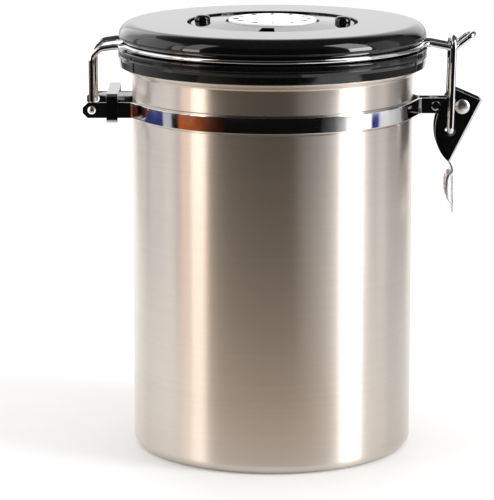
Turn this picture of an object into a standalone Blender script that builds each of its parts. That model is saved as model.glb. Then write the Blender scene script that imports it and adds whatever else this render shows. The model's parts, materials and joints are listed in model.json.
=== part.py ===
# Coffee canister with a clamped lid, a date dial and an over-centre wire latch.
# Metres, +Z up. The origin is the centre of the base; the latch is at +X and the hinge at -X.

import math

import bmesh
import bpy
from mathutils import Matrix, Vector
from mathutils.geometry import interpolate_bezier

MM = 0.001

# Clearance between pieces that touch, merging distance, extra length of cutters, facets round a turn
GAP = 0.3 * MM
WELD = 0.0003 * MM
OVERRUN = 2.0 * MM
LARGE_TURN = 44
MEDIUM_TURN = 28
VALVE_TURN = 20
SMALL_TURN = 16
TINY_TURN = 8

# Steel vessel
BODY_RADIUS = 62.5 * MM
BODY_HEIGHT = 173.0 * MM
BODY_WALL = 0.8 * MM
BASE_CORNER = 4.5 * MM
BASE_FOOT_WIDTH = 6.0 * MM
BASE_BEAD_WIDTH = 8.0 * MM
BASE_BEAD_DEPTH = 1.0 * MM
FLARE_HEIGHT = 5.7 * MM
FLARE_REACH = 3.95 * MM
CURL_RADIUS = 0.9 * MM

# Clamp band, in two half straps
BAND_DROP = 19.0 * MM
BAND_HEIGHT = 7.0 * MM
BAND_THICKNESS = 1.0 * MM
BAND_GROOVE_DEPTH = 0.4 * MM
BAND_BEND_RADIUS = 2.0 * MM
EAR_CHAMFER = 2.2 * MM

# Hinge side
HINGE_REACH = 17.2 * MM
HINGE_EAR_SPREAD = 17.5 * MM
HINGE_EAR_END = 4.0 * MM
HINGE_BAND_LEAVES = 29.3 * MM
HINGE_HOLE_RADIUS = 1.8 * MM
CLIP_SETBACK = 6.5 * MM
CLIP_WIDTH = 5.0 * MM
CLIP_THICKNESS = 1.0 * MM
CLIP_RISE = 3.4 * MM
CLIP_DROP = 1.0 * MM
CLIP_HOOK = 2.4 * MM
CLIP_BEND_RADIUS = 1.2 * MM

# Bail wire round the lid
BAIL_WIRE_RADIUS = 1.3 * MM
BAIL_ARM_CLEARANCE = 0.5 * MM
BAIL_PIN_BEND = 2.2 * MM
BAIL_PIN_END = 0.8 * MM
BAIL_KNEE_BEND = 4.0 * MM
BAIL_KNEE_RUN = 3.8 * MM
BAIL_KNEE_RISE = 3.6 * MM
BAIL_ARM_FALL = 0.9 * MM
BAIL_SWEEP_RADIUS = 7.0 * MM
NOSE_SPREAD = 6.0 * MM
NOSE_SWEEP_RADIUS = 5.0 * MM
NOSE_LENGTH = 26.4 * MM
NOSE_BEND_REACH = 18.3 * MM
NOSE_FALL = 2.0 * MM
NOSE_RISE = 6.4 * MM
NOSE_BEND_RADIUS = 4.0 * MM

# Latch
LATCH_REACH = 21.7 * MM
LATCH_EAR_SPREAD = 4.0 * MM
LATCH_EAR_END = 4.0 * MM
LATCH_BAND_LEAVES = 21.3 * MM
LEVER_WIDTH = 13.2 * MM
LEVER_SHEET = 1.0 * MM
CHEEK_DEPTH = 21.0 * MM
CHEEK_HEIGHT = 32.5 * MM
TAB_LENGTH = 24.0 * MM
TAB_WIDTH = 13.6 * MM
TAB_SHEET = 1.1 * MM
TAB_CURL = 2.9 * MM
PIVOT_RADIUS = 1.9 * MM
PIVOT_HEAD_RADIUS = 3.35 * MM
PIVOT_HEAD_HEIGHT = 1.15 * MM
BAND_RIVET_SETBACK = 11.5 * MM
BAND_RIVET_RADIUS = 1.5 * MM
BAND_RIVET_HEAD_RADIUS = 2.1 * MM
BAND_RIVET_HEAD_HEIGHT = 0.5 * MM
SPACER_RADIUS = 2.8 * MM
LOOP_WIRE_RADIUS = 1.4 * MM
LOOP_HOLE_RADIUS = 2.3 * MM
LOOP_PIN_BACK = 5.2 * MM
LOOP_PIN_DROP = 11.0 * MM
LOOP_LENGTH = 41.8 * MM
LOOP_LEAN = 1.0 * MM
LOOP_PIN_BEND = 2.2 * MM
LOOP_TOP_BEND = 4.5 * MM

# Lid
GASKET_THICKNESS = 2.0 * MM
GASKET_WALL = 1.5 * MM
GASKET_LIP = 3.4 * MM
SKIRT_CLEARANCE = 0.45 * MM
SKIRT_WALL = 1.9 * MM
SKIRT_DROP = 3.4 * MM
FLANGE_THICKNESS = 4.6 * MM
GROOVE_DEPTH = 4.0 * MM
CAP_HEIGHT = 7.9 * MM
CAP_SETBACK = 0.4 * MM
CAP_EDGE = 4.2 * MM
LID_WALL = 2.0 * MM
PLUG_CLEARANCE = 3.2 * MM
PLUG_DEPTH = 10.6 * MM
PLUG_FLOOR = 3.0 * MM
PLUG_EDGE = 1.5 * MM
POST_INSET = 10.5 * MM
POST_RADIUS = 3.2 * MM
POST_COUNT = 4
SCREW_RADIUS = 1.3 * MM
SCREW_HEAD_RADIUS = 2.8 * MM
SCREW_HEAD_HEIGHT = 1.2 * MM
SCREW_LENGTH = 9.0 * MM

# Date dial
DIAL_BORDER = 30.6 * MM
DIAL_DEPTH = 3.0 * MM
DIAL_FLOOR = 1.8 * MM
CARD_THICKNESS = 0.5 * MM
CARD_WIDTH = 13.2 * MM
RING_CLEARANCE = 1.4 * MM
RING_EDGE_THICKNESS = 1.2 * MM
RING_RISE = 1.0 * MM
MONTH_INSET = 16.8 * MM
MONTH_CLEARANCE = 1.1 * MM
MONTH_SEAT_DEPTH = 1.3 * MM
MONTH_THICKNESS = 1.9 * MM
MONTH_EDGE = 0.6 * MM
HUB_RADIUS = 3.9 * MM
WINDOW_INSET = 2.1 * MM
WINDOW_LENGTH = 9.4 * MM
WINDOW_HALF_ANGLE = math.radians(6.1)
RING_REST_ANGLE = math.radians(-5.0)
KNOB_INSET = 5.2 * MM
KNOB_RADIUS = 3.5 * MM
KNOB_HEIGHT = 2.4 * MM
KNOB_STEM_RADIUS = 1.4 * MM
WASHER_RADIUS = 6.5 * MM
WASHER_THICKNESS = 0.8 * MM

# One-way valve under the lid
VALVE_RADIUS = 17.4 * MM
VALVE_HEIGHT = 5.2 * MM
VALVE_SKIRT = 1.6 * MM
VALVE_HUB_RADIUS = 7.5 * MM
VALVE_HOLE_RADIUS = 2.0 * MM
SOCKET_WALL = 2.0 * MM
VENT_RADIUS = 1.6 * MM
VENT_COUNT = 6
COVER_FLANGE = 4.3 * MM
COVER_THICKNESS = 2.0 * MM
COVER_WALL = 1.4 * MM
COVER_COLLAR_HEIGHT = 4.0 * MM
COVER_SLOT_COUNT = 6
COVER_SLOT_WIDTH = 2.4 * MM

# Places worked out from the sizes above
RIM_RADIUS = BODY_RADIUS + FLARE_REACH
BODY_INNER_RADIUS = BODY_RADIUS - BODY_WALL
BASE_PANEL_RADIUS = BODY_RADIUS - BASE_CORNER - BASE_FOOT_WIDTH - BASE_BEAD_WIDTH
CURL_CENTRE_RADIUS = RIM_RADIUS - CURL_RADIUS
CURL_CENTRE_Z = BODY_HEIGHT - CURL_RADIUS
BAND_Z = BODY_HEIGHT - BAND_DROP
BAND_LINE_RADIUS = BODY_RADIUS - BAND_GROOVE_DEPTH + GAP + BAND_THICKNESS / 2
HINGE_X = -(BODY_RADIUS + HINGE_REACH)
PIVOT_X = BODY_RADIUS + LATCH_REACH
GASKET_Z = BODY_HEIGHT + GAP
FLANGE_Z = GASKET_Z + GASKET_THICKNESS + GAP
GROOVE_Z = FLANGE_Z + FLANGE_THICKNESS
CAP_Z = GROOVE_Z + 2 * (BAIL_WIRE_RADIUS + GAP)
LID_TOP_Z = CAP_Z + CAP_HEIGHT
WIRE_Z = GROOVE_Z + GAP + BAIL_WIRE_RADIUS
SKIRT_INNER_RADIUS = RIM_RADIUS + SKIRT_CLEARANCE
FLANGE_RADIUS = SKIRT_INNER_RADIUS + SKIRT_WALL
CAP_RADIUS = FLANGE_RADIUS - CAP_SETBACK
GROOVE_RADIUS = FLANGE_RADIUS - GROOVE_DEPTH
WIRE_RING_RADIUS = GROOVE_RADIUS + GAP + BAIL_WIRE_RADIUS
PLUG_RADIUS = BODY_INNER_RADIUS - PLUG_CLEARANCE
PLUG_Z = FLANGE_Z - PLUG_DEPTH
POST_CIRCLE_RADIUS = PLUG_RADIUS - POST_INSET
DIAL_RADIUS = CAP_RADIUS - DIAL_BORDER
DIAL_FLOOR_Z = LID_TOP_Z - DIAL_DEPTH
SHELL_UNDER_Z = DIAL_FLOOR_Z - DIAL_FLOOR
CARD_Z = DIAL_FLOOR_Z + GAP
RING_Z = CARD_Z + CARD_THICKNESS + GAP
CARD_RADIUS = DIAL_RADIUS - 2 * GAP
RING_RADIUS = DIAL_RADIUS - RING_CLEARANCE
RING_EDGE_Z = RING_Z + RING_EDGE_THICKNESS
RING_TOP_Z = RING_EDGE_Z + RING_RISE
WINDOW_OUTER_RADIUS = RING_RADIUS - WINDOW_INSET
WINDOW_INNER_RADIUS = WINDOW_OUTER_RADIUS - WINDOW_LENGTH
KNOB_CIRCLE_RADIUS = RING_RADIUS - KNOB_INSET
MONTH_RADIUS = RING_RADIUS - MONTH_INSET
MONTH_SEAT_RADIUS = MONTH_RADIUS + MONTH_CLEARANCE
MONTH_SEAT_Z = RING_TOP_Z - MONTH_SEAT_DEPTH
MONTH_Z = MONTH_SEAT_Z + GAP
VALVE_Z = PLUG_Z + VALVE_SKIRT
SOCKET_RADIUS = VALVE_RADIUS + 2 * GAP + COVER_WALL + GAP
SOCKET_Z = VALVE_Z + VALVE_HEIGHT + GAP


# General helpers

def clear_scene():
    for item in list(bpy.data.objects):
        bpy.data.objects.remove(item, do_unlink=True)


def make_material(name, colour, roughness, metallic):
    finish = bpy.data.materials.new(name)
    finish.use_nodes = True
    shader = finish.node_tree.nodes["Principled BSDF"]
    shader.inputs["Base Color"].default_value = (*colour, 1)
    shader.inputs["Roughness"].default_value = roughness
    shader.inputs["Metallic"].default_value = metallic
    return finish


def add_part(name, bm, finish, origin=(0, 0, 0)):
    """Turn a bmesh into an object whose own origin stands at the given place."""
    bmesh.ops.recalc_face_normals(bm, faces=bm.faces)
    bmesh.ops.translate(bm, verts=bm.verts, vec=-Vector(origin))
    mesh = bpy.data.meshes.new(name)
    bm.to_mesh(mesh)
    bm.free()
    mesh.shade_smooth()
    mesh.set_sharp_from_angle(angle=math.radians(35))
    part = bpy.data.objects.new(name, mesh)
    part.location = origin
    bpy.context.collection.objects.link(part)
    if finish:
        mesh.materials.append(finish)
    return part


def cut(part, cutter, operation="DIFFERENCE"):
    """Cut a guide out of a part, or join it on, and keep the guide out of the model."""
    cutter.hide_render = True
    cutter.display_type = "WIRE"
    step = part.modifiers.new(cutter.name, "BOOLEAN")
    step.operation = operation
    step.solver = "EXACT"
    step.object = cutter


def arc(centre, radius, start, end, steps):
    """Points of a flat arc, as pairs, with its angles in degrees."""
    points = []
    for index in range(steps + 1):
        angle = math.radians(start + (end - start) * index / steps)
        points.append((centre[0] + radius * math.cos(angle), centre[1] + radius * math.sin(angle)))
    return points


def curve(start, start_handle, end_handle, end, steps):
    """Points of a flat Bezier curve, as pairs."""
    corners = [Vector((*point, 0)) for point in (start, start_handle, end_handle, end)]
    return [(point.x, point.y) for point in interpolate_bezier(*corners, steps + 1)]


def turned_mesh(profile, steps, axis="Z", centre=(0, 0, 0)):
    """Spin a closed profile of (radius, height) pairs round an axis."""
    bm = bmesh.new()
    verts = [bm.verts.new((radius, 0, height)) for radius, height in profile]
    edges = [bm.edges.new((verts[i], verts[(i + 1) % len(verts)])) for i in range(len(verts))]
    on_axis = [edge for edge in edges if all(vert.co.x == 0 for vert in edge.verts)]
    turning = [edge for edge in edges if edge not in on_axis]
    bmesh.ops.spin(
        bm, geom=verts + turning, cent=(0, 0, 0), axis=(0, 0, 1),
        angle=2 * math.pi, steps=steps, use_merge=True,
    )
    bmesh.ops.remove_doubles(bm, verts=bm.verts, dist=WELD)
    loose = [edge for edge in bm.edges if not edge.link_faces]
    bmesh.ops.delete(bm, geom=loose, context="EDGES")
    if axis == "Y":
        bmesh.ops.rotate(bm, verts=bm.verts, matrix=Matrix.Rotation(-math.pi / 2, 3, "X"))
    bmesh.ops.translate(bm, verts=bm.verts, vec=centre)
    return bm


def turned(name, profile, finish, steps, axis="Z", centre=(0, 0, 0), origin=None):
    bm = turned_mesh(profile, steps, axis, centre)
    return add_part(name, bm, finish, centre if origin is None else origin)


def drill(part, radius, start, end, axis, centre, steps=SMALL_TURN):
    """Cut a round hole that runs from start to end along an axis through a centre."""
    profile = [(0, start), (radius, start), (radius, end), (0, end)]
    cut(part, turned(part.name + ".drill", profile, None, steps, axis, centre))


def prism_mesh(outline, low, high):
    """Extrude a closed outline of (x, z) pairs along Y."""
    bm = bmesh.new()
    face = bm.faces.new([bm.verts.new((x, low, z)) for x, z in outline])
    raised = bmesh.ops.extrude_face_region(bm, geom=[face])
    moved = [item for item in raised["geom"] if isinstance(item, bmesh.types.BMVert)]
    bmesh.ops.translate(bm, verts=moved, vec=(0, high - low, 0))
    return bm


def rounded(corners, radii, steps=5):
    """Round the inner corners of a run of points, each to its own radius."""
    points = [Vector(corners[0])]
    for index in range(1, len(corners) - 1):
        corner = Vector(corners[index])
        back = (Vector(corners[index - 1]) - corner).normalized()
        ahead = (Vector(corners[index + 1]) - corner).normalized()
        half = back.angle(ahead) / 2
        radius = radii[index - 1]
        middle = corner + (back + ahead).normalized() * radius / math.sin(half)
        first = corner + back * radius / math.tan(half) - middle
        turn = math.pi - 2 * half
        normal = first.cross(corner + ahead * radius / math.tan(half) - middle).normalized()
        for step in range(steps + 1):
            points.append(middle + Matrix.Rotation(turn * step / steps, 3, normal) @ first)
    points.append(Vector(corners[-1]))
    return points


def strip_mesh(path, across, thickness):
    """Sweep a flat strip along a path; across is half its width, as a vector."""
    bm = bmesh.new()
    rings = []
    for index, point in enumerate(path):
        before = path[max(index - 1, 0)]
        after = path[min(index + 1, len(path) - 1)]
        side = (after - before).cross(across).normalized() * thickness / 2
        corners = (point - side - across, point + side - across, point + side + across, point - side + across)
        rings.append([bm.verts.new(corner) for corner in corners])
    for near, far in zip(rings, rings[1:]):
        for index in range(4):
            after = (index + 1) % 4
            bm.faces.new((near[index], near[after], far[after], far[index]))
    bm.faces.new(rings[0])
    bm.faces.new(rings[-1])
    return bm


def wire(name, path, radius, finish, origin):
    """A round wire along a path, with closed ends."""
    data = bpy.data.curves.new(name, "CURVE")
    data.dimensions = "3D"
    data.bevel_depth = radius
    data.bevel_resolution = 2
    data.use_fill_caps = True
    spline = data.splines.new("POLY")
    spline.points.add(len(path) - 1)
    for place, point in zip(spline.points, path):
        place.co = (*(point - Vector(origin)), 1)
    data.materials.append(finish)
    part = bpy.data.objects.new(name, data)
    part.location = origin
    bpy.context.collection.objects.link(part)
    return part


# Vessel

def make_canister_body(finish):
    panel = BASE_PANEL_RADIUS
    bead_shoulder_share = 0.2
    shoulder = BASE_BEAD_WIDTH * bead_shoulder_share
    bead_end = panel + BASE_BEAD_WIDTH
    foot = BODY_RADIUS - BASE_CORNER
    half_band = BAND_HEIGHT / 2 + 2 * GAP
    groove_slope = BAND_GROOVE_DEPTH
    flare_z = CURL_CENTRE_Z - FLARE_HEIGHT
    handle = FLARE_HEIGHT / 2

    outside = [(0, 0), (panel, 0), (panel + shoulder, BASE_BEAD_DEPTH),
               (bead_end - shoulder, BASE_BEAD_DEPTH), (bead_end, 0)]
    outside += arc((foot, BASE_CORNER), BASE_CORNER, -90, 0, 3)
    outside += [(BODY_RADIUS, BAND_Z - half_band - groove_slope),
                (BODY_RADIUS - BAND_GROOVE_DEPTH, BAND_Z - half_band),
                (BODY_RADIUS - BAND_GROOVE_DEPTH, BAND_Z + half_band),
                (BODY_RADIUS, BAND_Z + half_band + groove_slope)]
    outside += curve((BODY_RADIUS, flare_z), (BODY_RADIUS, flare_z + handle),
                     (RIM_RADIUS, CURL_CENTRE_Z - handle), (RIM_RADIUS, CURL_CENTRE_Z), 4)
    curl = arc((CURL_CENTRE_RADIUS, CURL_CENTRE_Z), CURL_RADIUS, 0, 180, 4)[1:]
    curl_inside = CURL_CENTRE_RADIUS - CURL_RADIUS
    inside = curve((curl_inside, CURL_CENTRE_Z), (curl_inside, CURL_CENTRE_Z - handle),
                   (BODY_INNER_RADIUS, flare_z + handle), (BODY_INNER_RADIUS, flare_z), 3)[1:]
    inside += arc((foot, BASE_CORNER), BASE_CORNER - BODY_WALL, 0, -90, 3)
    inside += [(bead_end, BODY_WALL), (bead_end - shoulder, BODY_WALL + BASE_BEAD_DEPTH),
               (panel + shoulder, BODY_WALL + BASE_BEAD_DEPTH), (panel, BODY_WALL), (0, BODY_WALL)]
    turned("canister_body", outside + curl + inside, finish, LARGE_TURN)


# Clamp band

def strap_path(side):
    """Centre line of one half strap, from the hinge ear round the vessel to the latch ear."""
    def leaving_angle(offset):
        return math.asin(offset / BAND_LINE_RADIUS)

    def ear_corner(offset, ear_y):
        """Where the tangent that leaves the vessel meets the plane of the ear."""
        angle = leaving_angle(offset)
        run = (offset - ear_y) / math.cos(angle)
        return BAND_LINE_RADIUS * math.cos(angle) + run * math.sin(angle)

    hinge_corner = (-ear_corner(HINGE_BAND_LEAVES, HINGE_EAR_SPREAD), -HINGE_EAR_SPREAD, BAND_Z)
    latch_corner = (ear_corner(LATCH_BAND_LEAVES, LATCH_EAR_SPREAD), -LATCH_EAR_SPREAD, BAND_Z)
    start = math.pi + leaving_angle(HINGE_BAND_LEAVES)
    end = 2 * math.pi - leaving_angle(LATCH_BAND_LEAVES)
    turns = LARGE_TURN // 2
    ring = []
    for step in range(turns + 1):
        angle = start + (end - start) * step / turns
        ring.append(Vector((BAND_LINE_RADIUS * math.cos(angle), BAND_LINE_RADIUS * math.sin(angle), BAND_Z)))
    hinge_end = (HINGE_X - HINGE_EAR_END, -HINGE_EAR_SPREAD, BAND_Z)
    latch_end = (PIVOT_X + LATCH_EAR_END, -LATCH_EAR_SPREAD, BAND_Z)
    head = rounded([hinge_end, hinge_corner, ring[0]], [BAND_BEND_RADIUS], 4)
    tail = rounded([ring[-1], latch_corner, latch_end], [BAND_BEND_RADIUS], 4)
    path = head[:-1] + ring + tail[1:]
    return [Vector((point.x, point.y * side, point.z)) for point in path]


def make_strap(name, side, finish):
    """One half of the clamp band; side is 1 for the front half and -1 for the back half."""
    bm = strip_mesh(strap_path(side), Vector((0, 0, BAND_HEIGHT / 2)), BAND_THICKNESS)
    for end_x, way in ((HINGE_X - HINGE_EAR_END, -1), (PIVOT_X + LATCH_EAR_END, 1)):
        for rise in (-1, 1):
            corner = Vector((end_x - way * EAR_CHAMFER, 0, BAND_Z + rise * BAND_HEIGHT / 2))
            geometry = bm.verts[:] + bm.edges[:] + bm.faces[:]
            sliced = bmesh.ops.bisect_plane(
                bm, geom=geometry, plane_co=corner, plane_no=(way, 0, rise), clear_outer=True, dist=WELD)
            rim = [item for item in sliced["geom_cut"] if isinstance(item, bmesh.types.BMEdge)]
            bmesh.ops.holes_fill(bm, edges=rim)
    strap = add_part(name, bm, finish)
    holes = (
        (HINGE_X, HINGE_EAR_SPREAD, HINGE_HOLE_RADIUS),
        (PIVOT_X - BAND_RIVET_SETBACK, LATCH_EAR_SPREAD, BAND_RIVET_RADIUS + GAP),
        (PIVOT_X, LATCH_EAR_SPREAD, PIVOT_RADIUS + GAP),
    )
    for x, spread, radius in holes:
        half = BAND_THICKNESS
        drill(strap, radius, -half, half, "Y", (x, -side * spread, BAND_Z))


def make_hinge_clip(finish):
    """Staple over both hinge ears, with its tips turned in under them."""
    x = HINGE_X + CLIP_SETBACK + CLIP_WIDTH / 2
    leg_y = HINGE_EAR_SPREAD + BAND_THICKNESS / 2 + GAP + CLIP_THICKNESS / 2
    top_z = BAND_Z + BAND_HEIGHT / 2 + CLIP_RISE
    tip_z = BAND_Z - BAND_HEIGHT / 2 - CLIP_DROP - CLIP_THICKNESS / 2
    tip_y = leg_y - CLIP_HOOK
    corners = [(x, -tip_y, tip_z), (x, -leg_y, tip_z), (x, -leg_y, top_z),
               (x, leg_y, top_z), (x, leg_y, tip_z), (x, tip_y, tip_z)]
    hook_bend_share = 0.75
    hook_bend = CLIP_THICKNESS * hook_bend_share
    path = rounded(corners, [hook_bend, CLIP_BEND_RADIUS, CLIP_BEND_RADIUS, hook_bend], 4)
    bm = strip_mesh(path, Vector((CLIP_WIDTH / 2, 0, 0)), CLIP_THICKNESS)
    add_part("hinge_clip", bm, finish, (x, 0, BAND_Z))


def make_rivet(name, place, grip, radius, head_radius, head_height, finish):
    """Rivet through both ears, with a domed head at each end; grip is half its length under the heads."""
    profile = [(0, -grip - head_height)]
    dome_shares = ((0.55, 0.88), (0.88, 0.5), (1.0, 0.0))
    for radius_share, height_share in dome_shares:
        profile.append((head_radius * radius_share, -grip - head_height * height_share))
    profile += [(radius, -grip), (radius, grip)]
    for radius_share, height_share in reversed(dome_shares):
        profile.append((head_radius * radius_share, grip + head_height * height_share))
    profile.append((0, grip + head_height))
    turned(name, profile, finish, SMALL_TURN, "Y", place)


def make_band_rivets(finish):
    ear_face = LATCH_EAR_SPREAD + BAND_THICKNESS / 2
    rivet_x = PIVOT_X - BAND_RIVET_SETBACK
    make_rivet("band_rivet", (rivet_x, 0, BAND_Z), ear_face + GAP / 2,
               BAND_RIVET_RADIUS, BAND_RIVET_HEAD_RADIUS, BAND_RIVET_HEAD_HEIGHT, finish)
    make_rivet("lever_pivot_rivet", (PIVOT_X, 0, BAND_Z), LEVER_WIDTH / 2 + GAP,
               PIVOT_RADIUS, PIVOT_HEAD_RADIUS, PIVOT_HEAD_HEIGHT, finish)
    half = LATCH_EAR_SPREAD - BAND_THICKNESS / 2 - GAP
    for name, x, outer, inner in (
        ("band_spacer", rivet_x, SPACER_RADIUS, BAND_RIVET_RADIUS + GAP),
        ("pivot_spacer", PIVOT_X, SPACER_RADIUS + GAP, PIVOT_RADIUS + GAP),
    ):
        tube = [(inner, -half), (outer, -half), (outer, half), (inner, half)]
        turned(name, tube, finish, SMALL_TURN, "Y", (x, 0, BAND_Z))


# Bail wire

def tangent_bend(offset, radius, turns):
    """Arc in plan that leaves the groove's circle and ends along X, at the given distance off the axis."""
    reach = WIRE_RING_RADIUS + radius
    centre_x = math.sqrt(reach ** 2 - (offset + radius) ** 2)
    leaving = math.asin((offset + radius) / reach)
    points = []
    for step in range(turns + 1):
        angle = math.pi - leaving - (math.pi / 2 - leaving) * step / turns
        points.append((centre_x + radius * math.cos(angle), -offset - radius + radius * math.sin(angle)))
    return points, leaving


def bail_half_path():
    """Front half of the bail, from the hinge pin over the knee, round the groove and out to the nose tip."""
    ear_inside = HINGE_EAR_SPREAD - BAND_THICKNESS / 2
    arm_y = ear_inside - BAIL_ARM_CLEARANCE - BAIL_WIRE_RADIUS
    pin_y = HINGE_EAR_SPREAD + BAND_THICKNESS / 2 + BAIL_PIN_END
    knee_z = WIRE_Z - BAIL_ARM_FALL
    hinge_bend, hinge_angle = tangent_bend(arm_y, BAIL_SWEEP_RADIUS, 4)
    arm_end = Vector((-hinge_bend[-1][0], hinge_bend[-1][1], WIRE_Z))
    corners = [(HINGE_X, -pin_y, BAND_Z), (HINGE_X, -arm_y, BAND_Z),
               (HINGE_X, -arm_y, knee_z - BAIL_KNEE_RISE),
               (HINGE_X + BAIL_KNEE_RUN, -arm_y, knee_z), arm_end]
    path = rounded(corners, [BAIL_PIN_BEND, BAIL_KNEE_BEND, BAIL_KNEE_BEND], 4)
    path += [Vector((-x, y, WIRE_Z)) for x, y in reversed(hinge_bend[:-1])]

    nose_bend, nose_angle = tangent_bend(NOSE_SPREAD, NOSE_SWEEP_RADIUS, 4)
    tip_bend_share = 0.98
    start = math.pi + hinge_angle
    end = 2 * math.pi - nose_angle
    turns = LARGE_TURN // 2
    for step in range(1, turns):
        angle = start + (end - start) * step / turns
        path.append(Vector((WIRE_RING_RADIUS * math.cos(angle), WIRE_RING_RADIUS * math.sin(angle), WIRE_Z)))
    path += [Vector((x, y, WIRE_Z)) for x, y in nose_bend]
    bend_z = WIRE_Z - NOSE_FALL
    bend_x = BODY_RADIUS + NOSE_BEND_REACH
    tip = (BODY_RADIUS + NOSE_LENGTH, bend_z + NOSE_RISE)
    first = path.pop()
    corners = [first, (bend_x, -NOSE_SPREAD, bend_z), (tip[0], -NOSE_SPREAD, tip[1]), (tip[0], 0, tip[1])]
    nose = rounded(corners, [NOSE_BEND_RADIUS, NOSE_SPREAD * tip_bend_share], 4)
    return path + nose


def make_bail_wire(finish):
    front = bail_half_path()
    back = [Vector((point.x, -point.y, point.z)) for point in reversed(front[:-1])]
    wire("bail_wire", front + back, BAIL_WIRE_RADIUS, finish, (HINGE_X, 0, BAND_Z))


# Latch

def lever_outline():
    """Side view of a cheek, as (x, z) from the pivot: top, straight spine at the right, curved left edge."""
    top_left_share = (-0.157, 0.237)
    top_right_share = (0.429, 0.074)
    heel_share = (-0.233, -0.763)
    toe_share = (-0.281, -0.763)
    left_low_share = (-0.714, -0.523)
    left_high_share = (-0.643, -0.025)

    def place(share):
        return (PIVOT_X + CHEEK_DEPTH * share[0], BAND_Z + CHEEK_HEIGHT * share[1])

    left = curve(place(toe_share), place(left_low_share), place(left_high_share), place(top_left_share), 8)
    return [place(top_right_share), place(heel_share)] + left


def spine_direction(outline):
    top, heel = Vector(outline[0]), Vector(outline[1])
    return (heel - top).normalized()


def lever_channel(outline):
    """The hollow between the cheeks, open at the top and towards the vessel."""
    along = spine_direction(outline)
    inward = Vector((along.y, -along.x))
    solid_heel_share = 0.09
    top = Vector(outline[0]) + inward * LEVER_SHEET - along * 2 * OVERRUN
    heel = Vector(outline[1]) - along * CHEEK_HEIGHT * solid_heel_share + inward * LEVER_SHEET
    far_x = PIVOT_X - CHEEK_DEPTH
    high_z = BAND_Z + CHEEK_HEIGHT / 2
    return [(top.x, high_z), (top.x, top.y), (heel.x, heel.y), (far_x, heel.y), (far_x, high_z)]


def thumb_tab_mesh(outline):
    """Tongue below the cheeks: a sheet whose sides curl towards the vessel."""
    heel = Vector(outline[1])
    inset_share = 0.6
    top_x = heel.x - TAB_SHEET * inset_share
    # Each row: drop, width, curl and step outwards
    tab_row_shares = (
        (-0.06, 0.90, 0.0, -0.5), (0.02, 0.90, 0.0, 0.25), (0.09, 0.90, 0.0, 1.2),
        (0.18, 0.91, 0.0, 1.7), (0.30, 0.98, 0.75, 1.72), (0.43, 1.0, 1.0, 1.75), (0.60, 1.0, 1.0, 1.8),
        (0.71, 0.97, 0.8, 1.85), (0.80, 0.91, 0.15, 1.9), (0.92, 0.78, 0.0, 1.95), (1.0, 0.5, 0.0, 2.0),
    )
    curl_power = 4
    face_shares = (-0.5, 0.5)
    columns = 6
    bm = bmesh.new()
    grids = []
    for face in face_shares:
        grid = []
        for drop_share, width_share, curl_share, out_share in tab_row_shares:
            line = []
            for column in range(columns + 1):
                across = 2 * column / columns - 1
                curl = TAB_CURL * curl_share * across ** curl_power
                x = top_x + TAB_SHEET * (out_share + face) - curl
                y = across * width_share * TAB_WIDTH / 2
                line.append(bm.verts.new((x, y, heel.y - TAB_LENGTH * drop_share)))
            grid.append(line)
        grids.append(grid)
    inner, outer = grids
    last = len(tab_row_shares) - 1
    for grid in grids:
        for row in range(last):
            for column in range(columns):
                bm.faces.new((grid[row][column], grid[row][column + 1],
                              grid[row + 1][column + 1], grid[row + 1][column]))
    for row in range(last):
        for column in (0, columns):
            bm.faces.new((inner[row][column], outer[row][column],
                          outer[row + 1][column], inner[row + 1][column]))
    for row in (0, last):
        for column in range(columns):
            bm.faces.new((inner[row][column], outer[row][column],
                          outer[row][column + 1], inner[row][column + 1]))
    return bm


def make_latch_lever(finish):
    pivot = (PIVOT_X, 0, BAND_Z)
    outline = lever_outline()
    lever = add_part("latch_lever", prism_mesh(outline, -LEVER_WIDTH / 2, LEVER_WIDTH / 2), finish, pivot)
    half = LEVER_WIDTH / 2 - LEVER_SHEET
    cut(lever, add_part("latch_lever.channel", prism_mesh(lever_channel(outline), -half, half), None, pivot))
    tab = add_part("latch_lever.tab", thumb_tab_mesh(outline), None, pivot)
    cut(lever, tab, "UNION")
    reach = LEVER_WIDTH / 2 + OVERRUN
    drill(lever, PIVOT_RADIUS + GAP, -reach, reach, "Y", pivot)
    drill(lever, LOOP_HOLE_RADIUS, -reach, reach, "Y", (PIVOT_X - LOOP_PIN_BACK, 0, BAND_Z - LOOP_PIN_DROP))


def make_latch_loop(finish):
    """Wire stirrup whose ends turn in through the lever's holes and whose top hooks over the nose."""
    pin_x = PIVOT_X - LOOP_PIN_BACK
    pin_z = BAND_Z - LOOP_PIN_DROP
    leg_y = LEVER_WIDTH / 2 + GAP + PIVOT_HEAD_HEIGHT + GAP + LOOP_WIRE_RADIUS
    end_y = LEVER_WIDTH / 2 - LEVER_SHEET - GAP
    top_x = pin_x + LOOP_LEAN
    top_z = pin_z + LOOP_LENGTH
    corners = [(pin_x, -end_y, pin_z), (pin_x, -leg_y, pin_z), (top_x, -leg_y, top_z),
               (top_x, leg_y, top_z), (pin_x, leg_y, pin_z), (pin_x, end_y, pin_z)]
    path = rounded(corners, [LOOP_PIN_BEND, LOOP_TOP_BEND, LOOP_TOP_BEND, LOOP_PIN_BEND], 4)
    wire("latch_loop", path, LOOP_WIRE_RADIUS, finish, (pin_x, 0, pin_z))


# Lid

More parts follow.
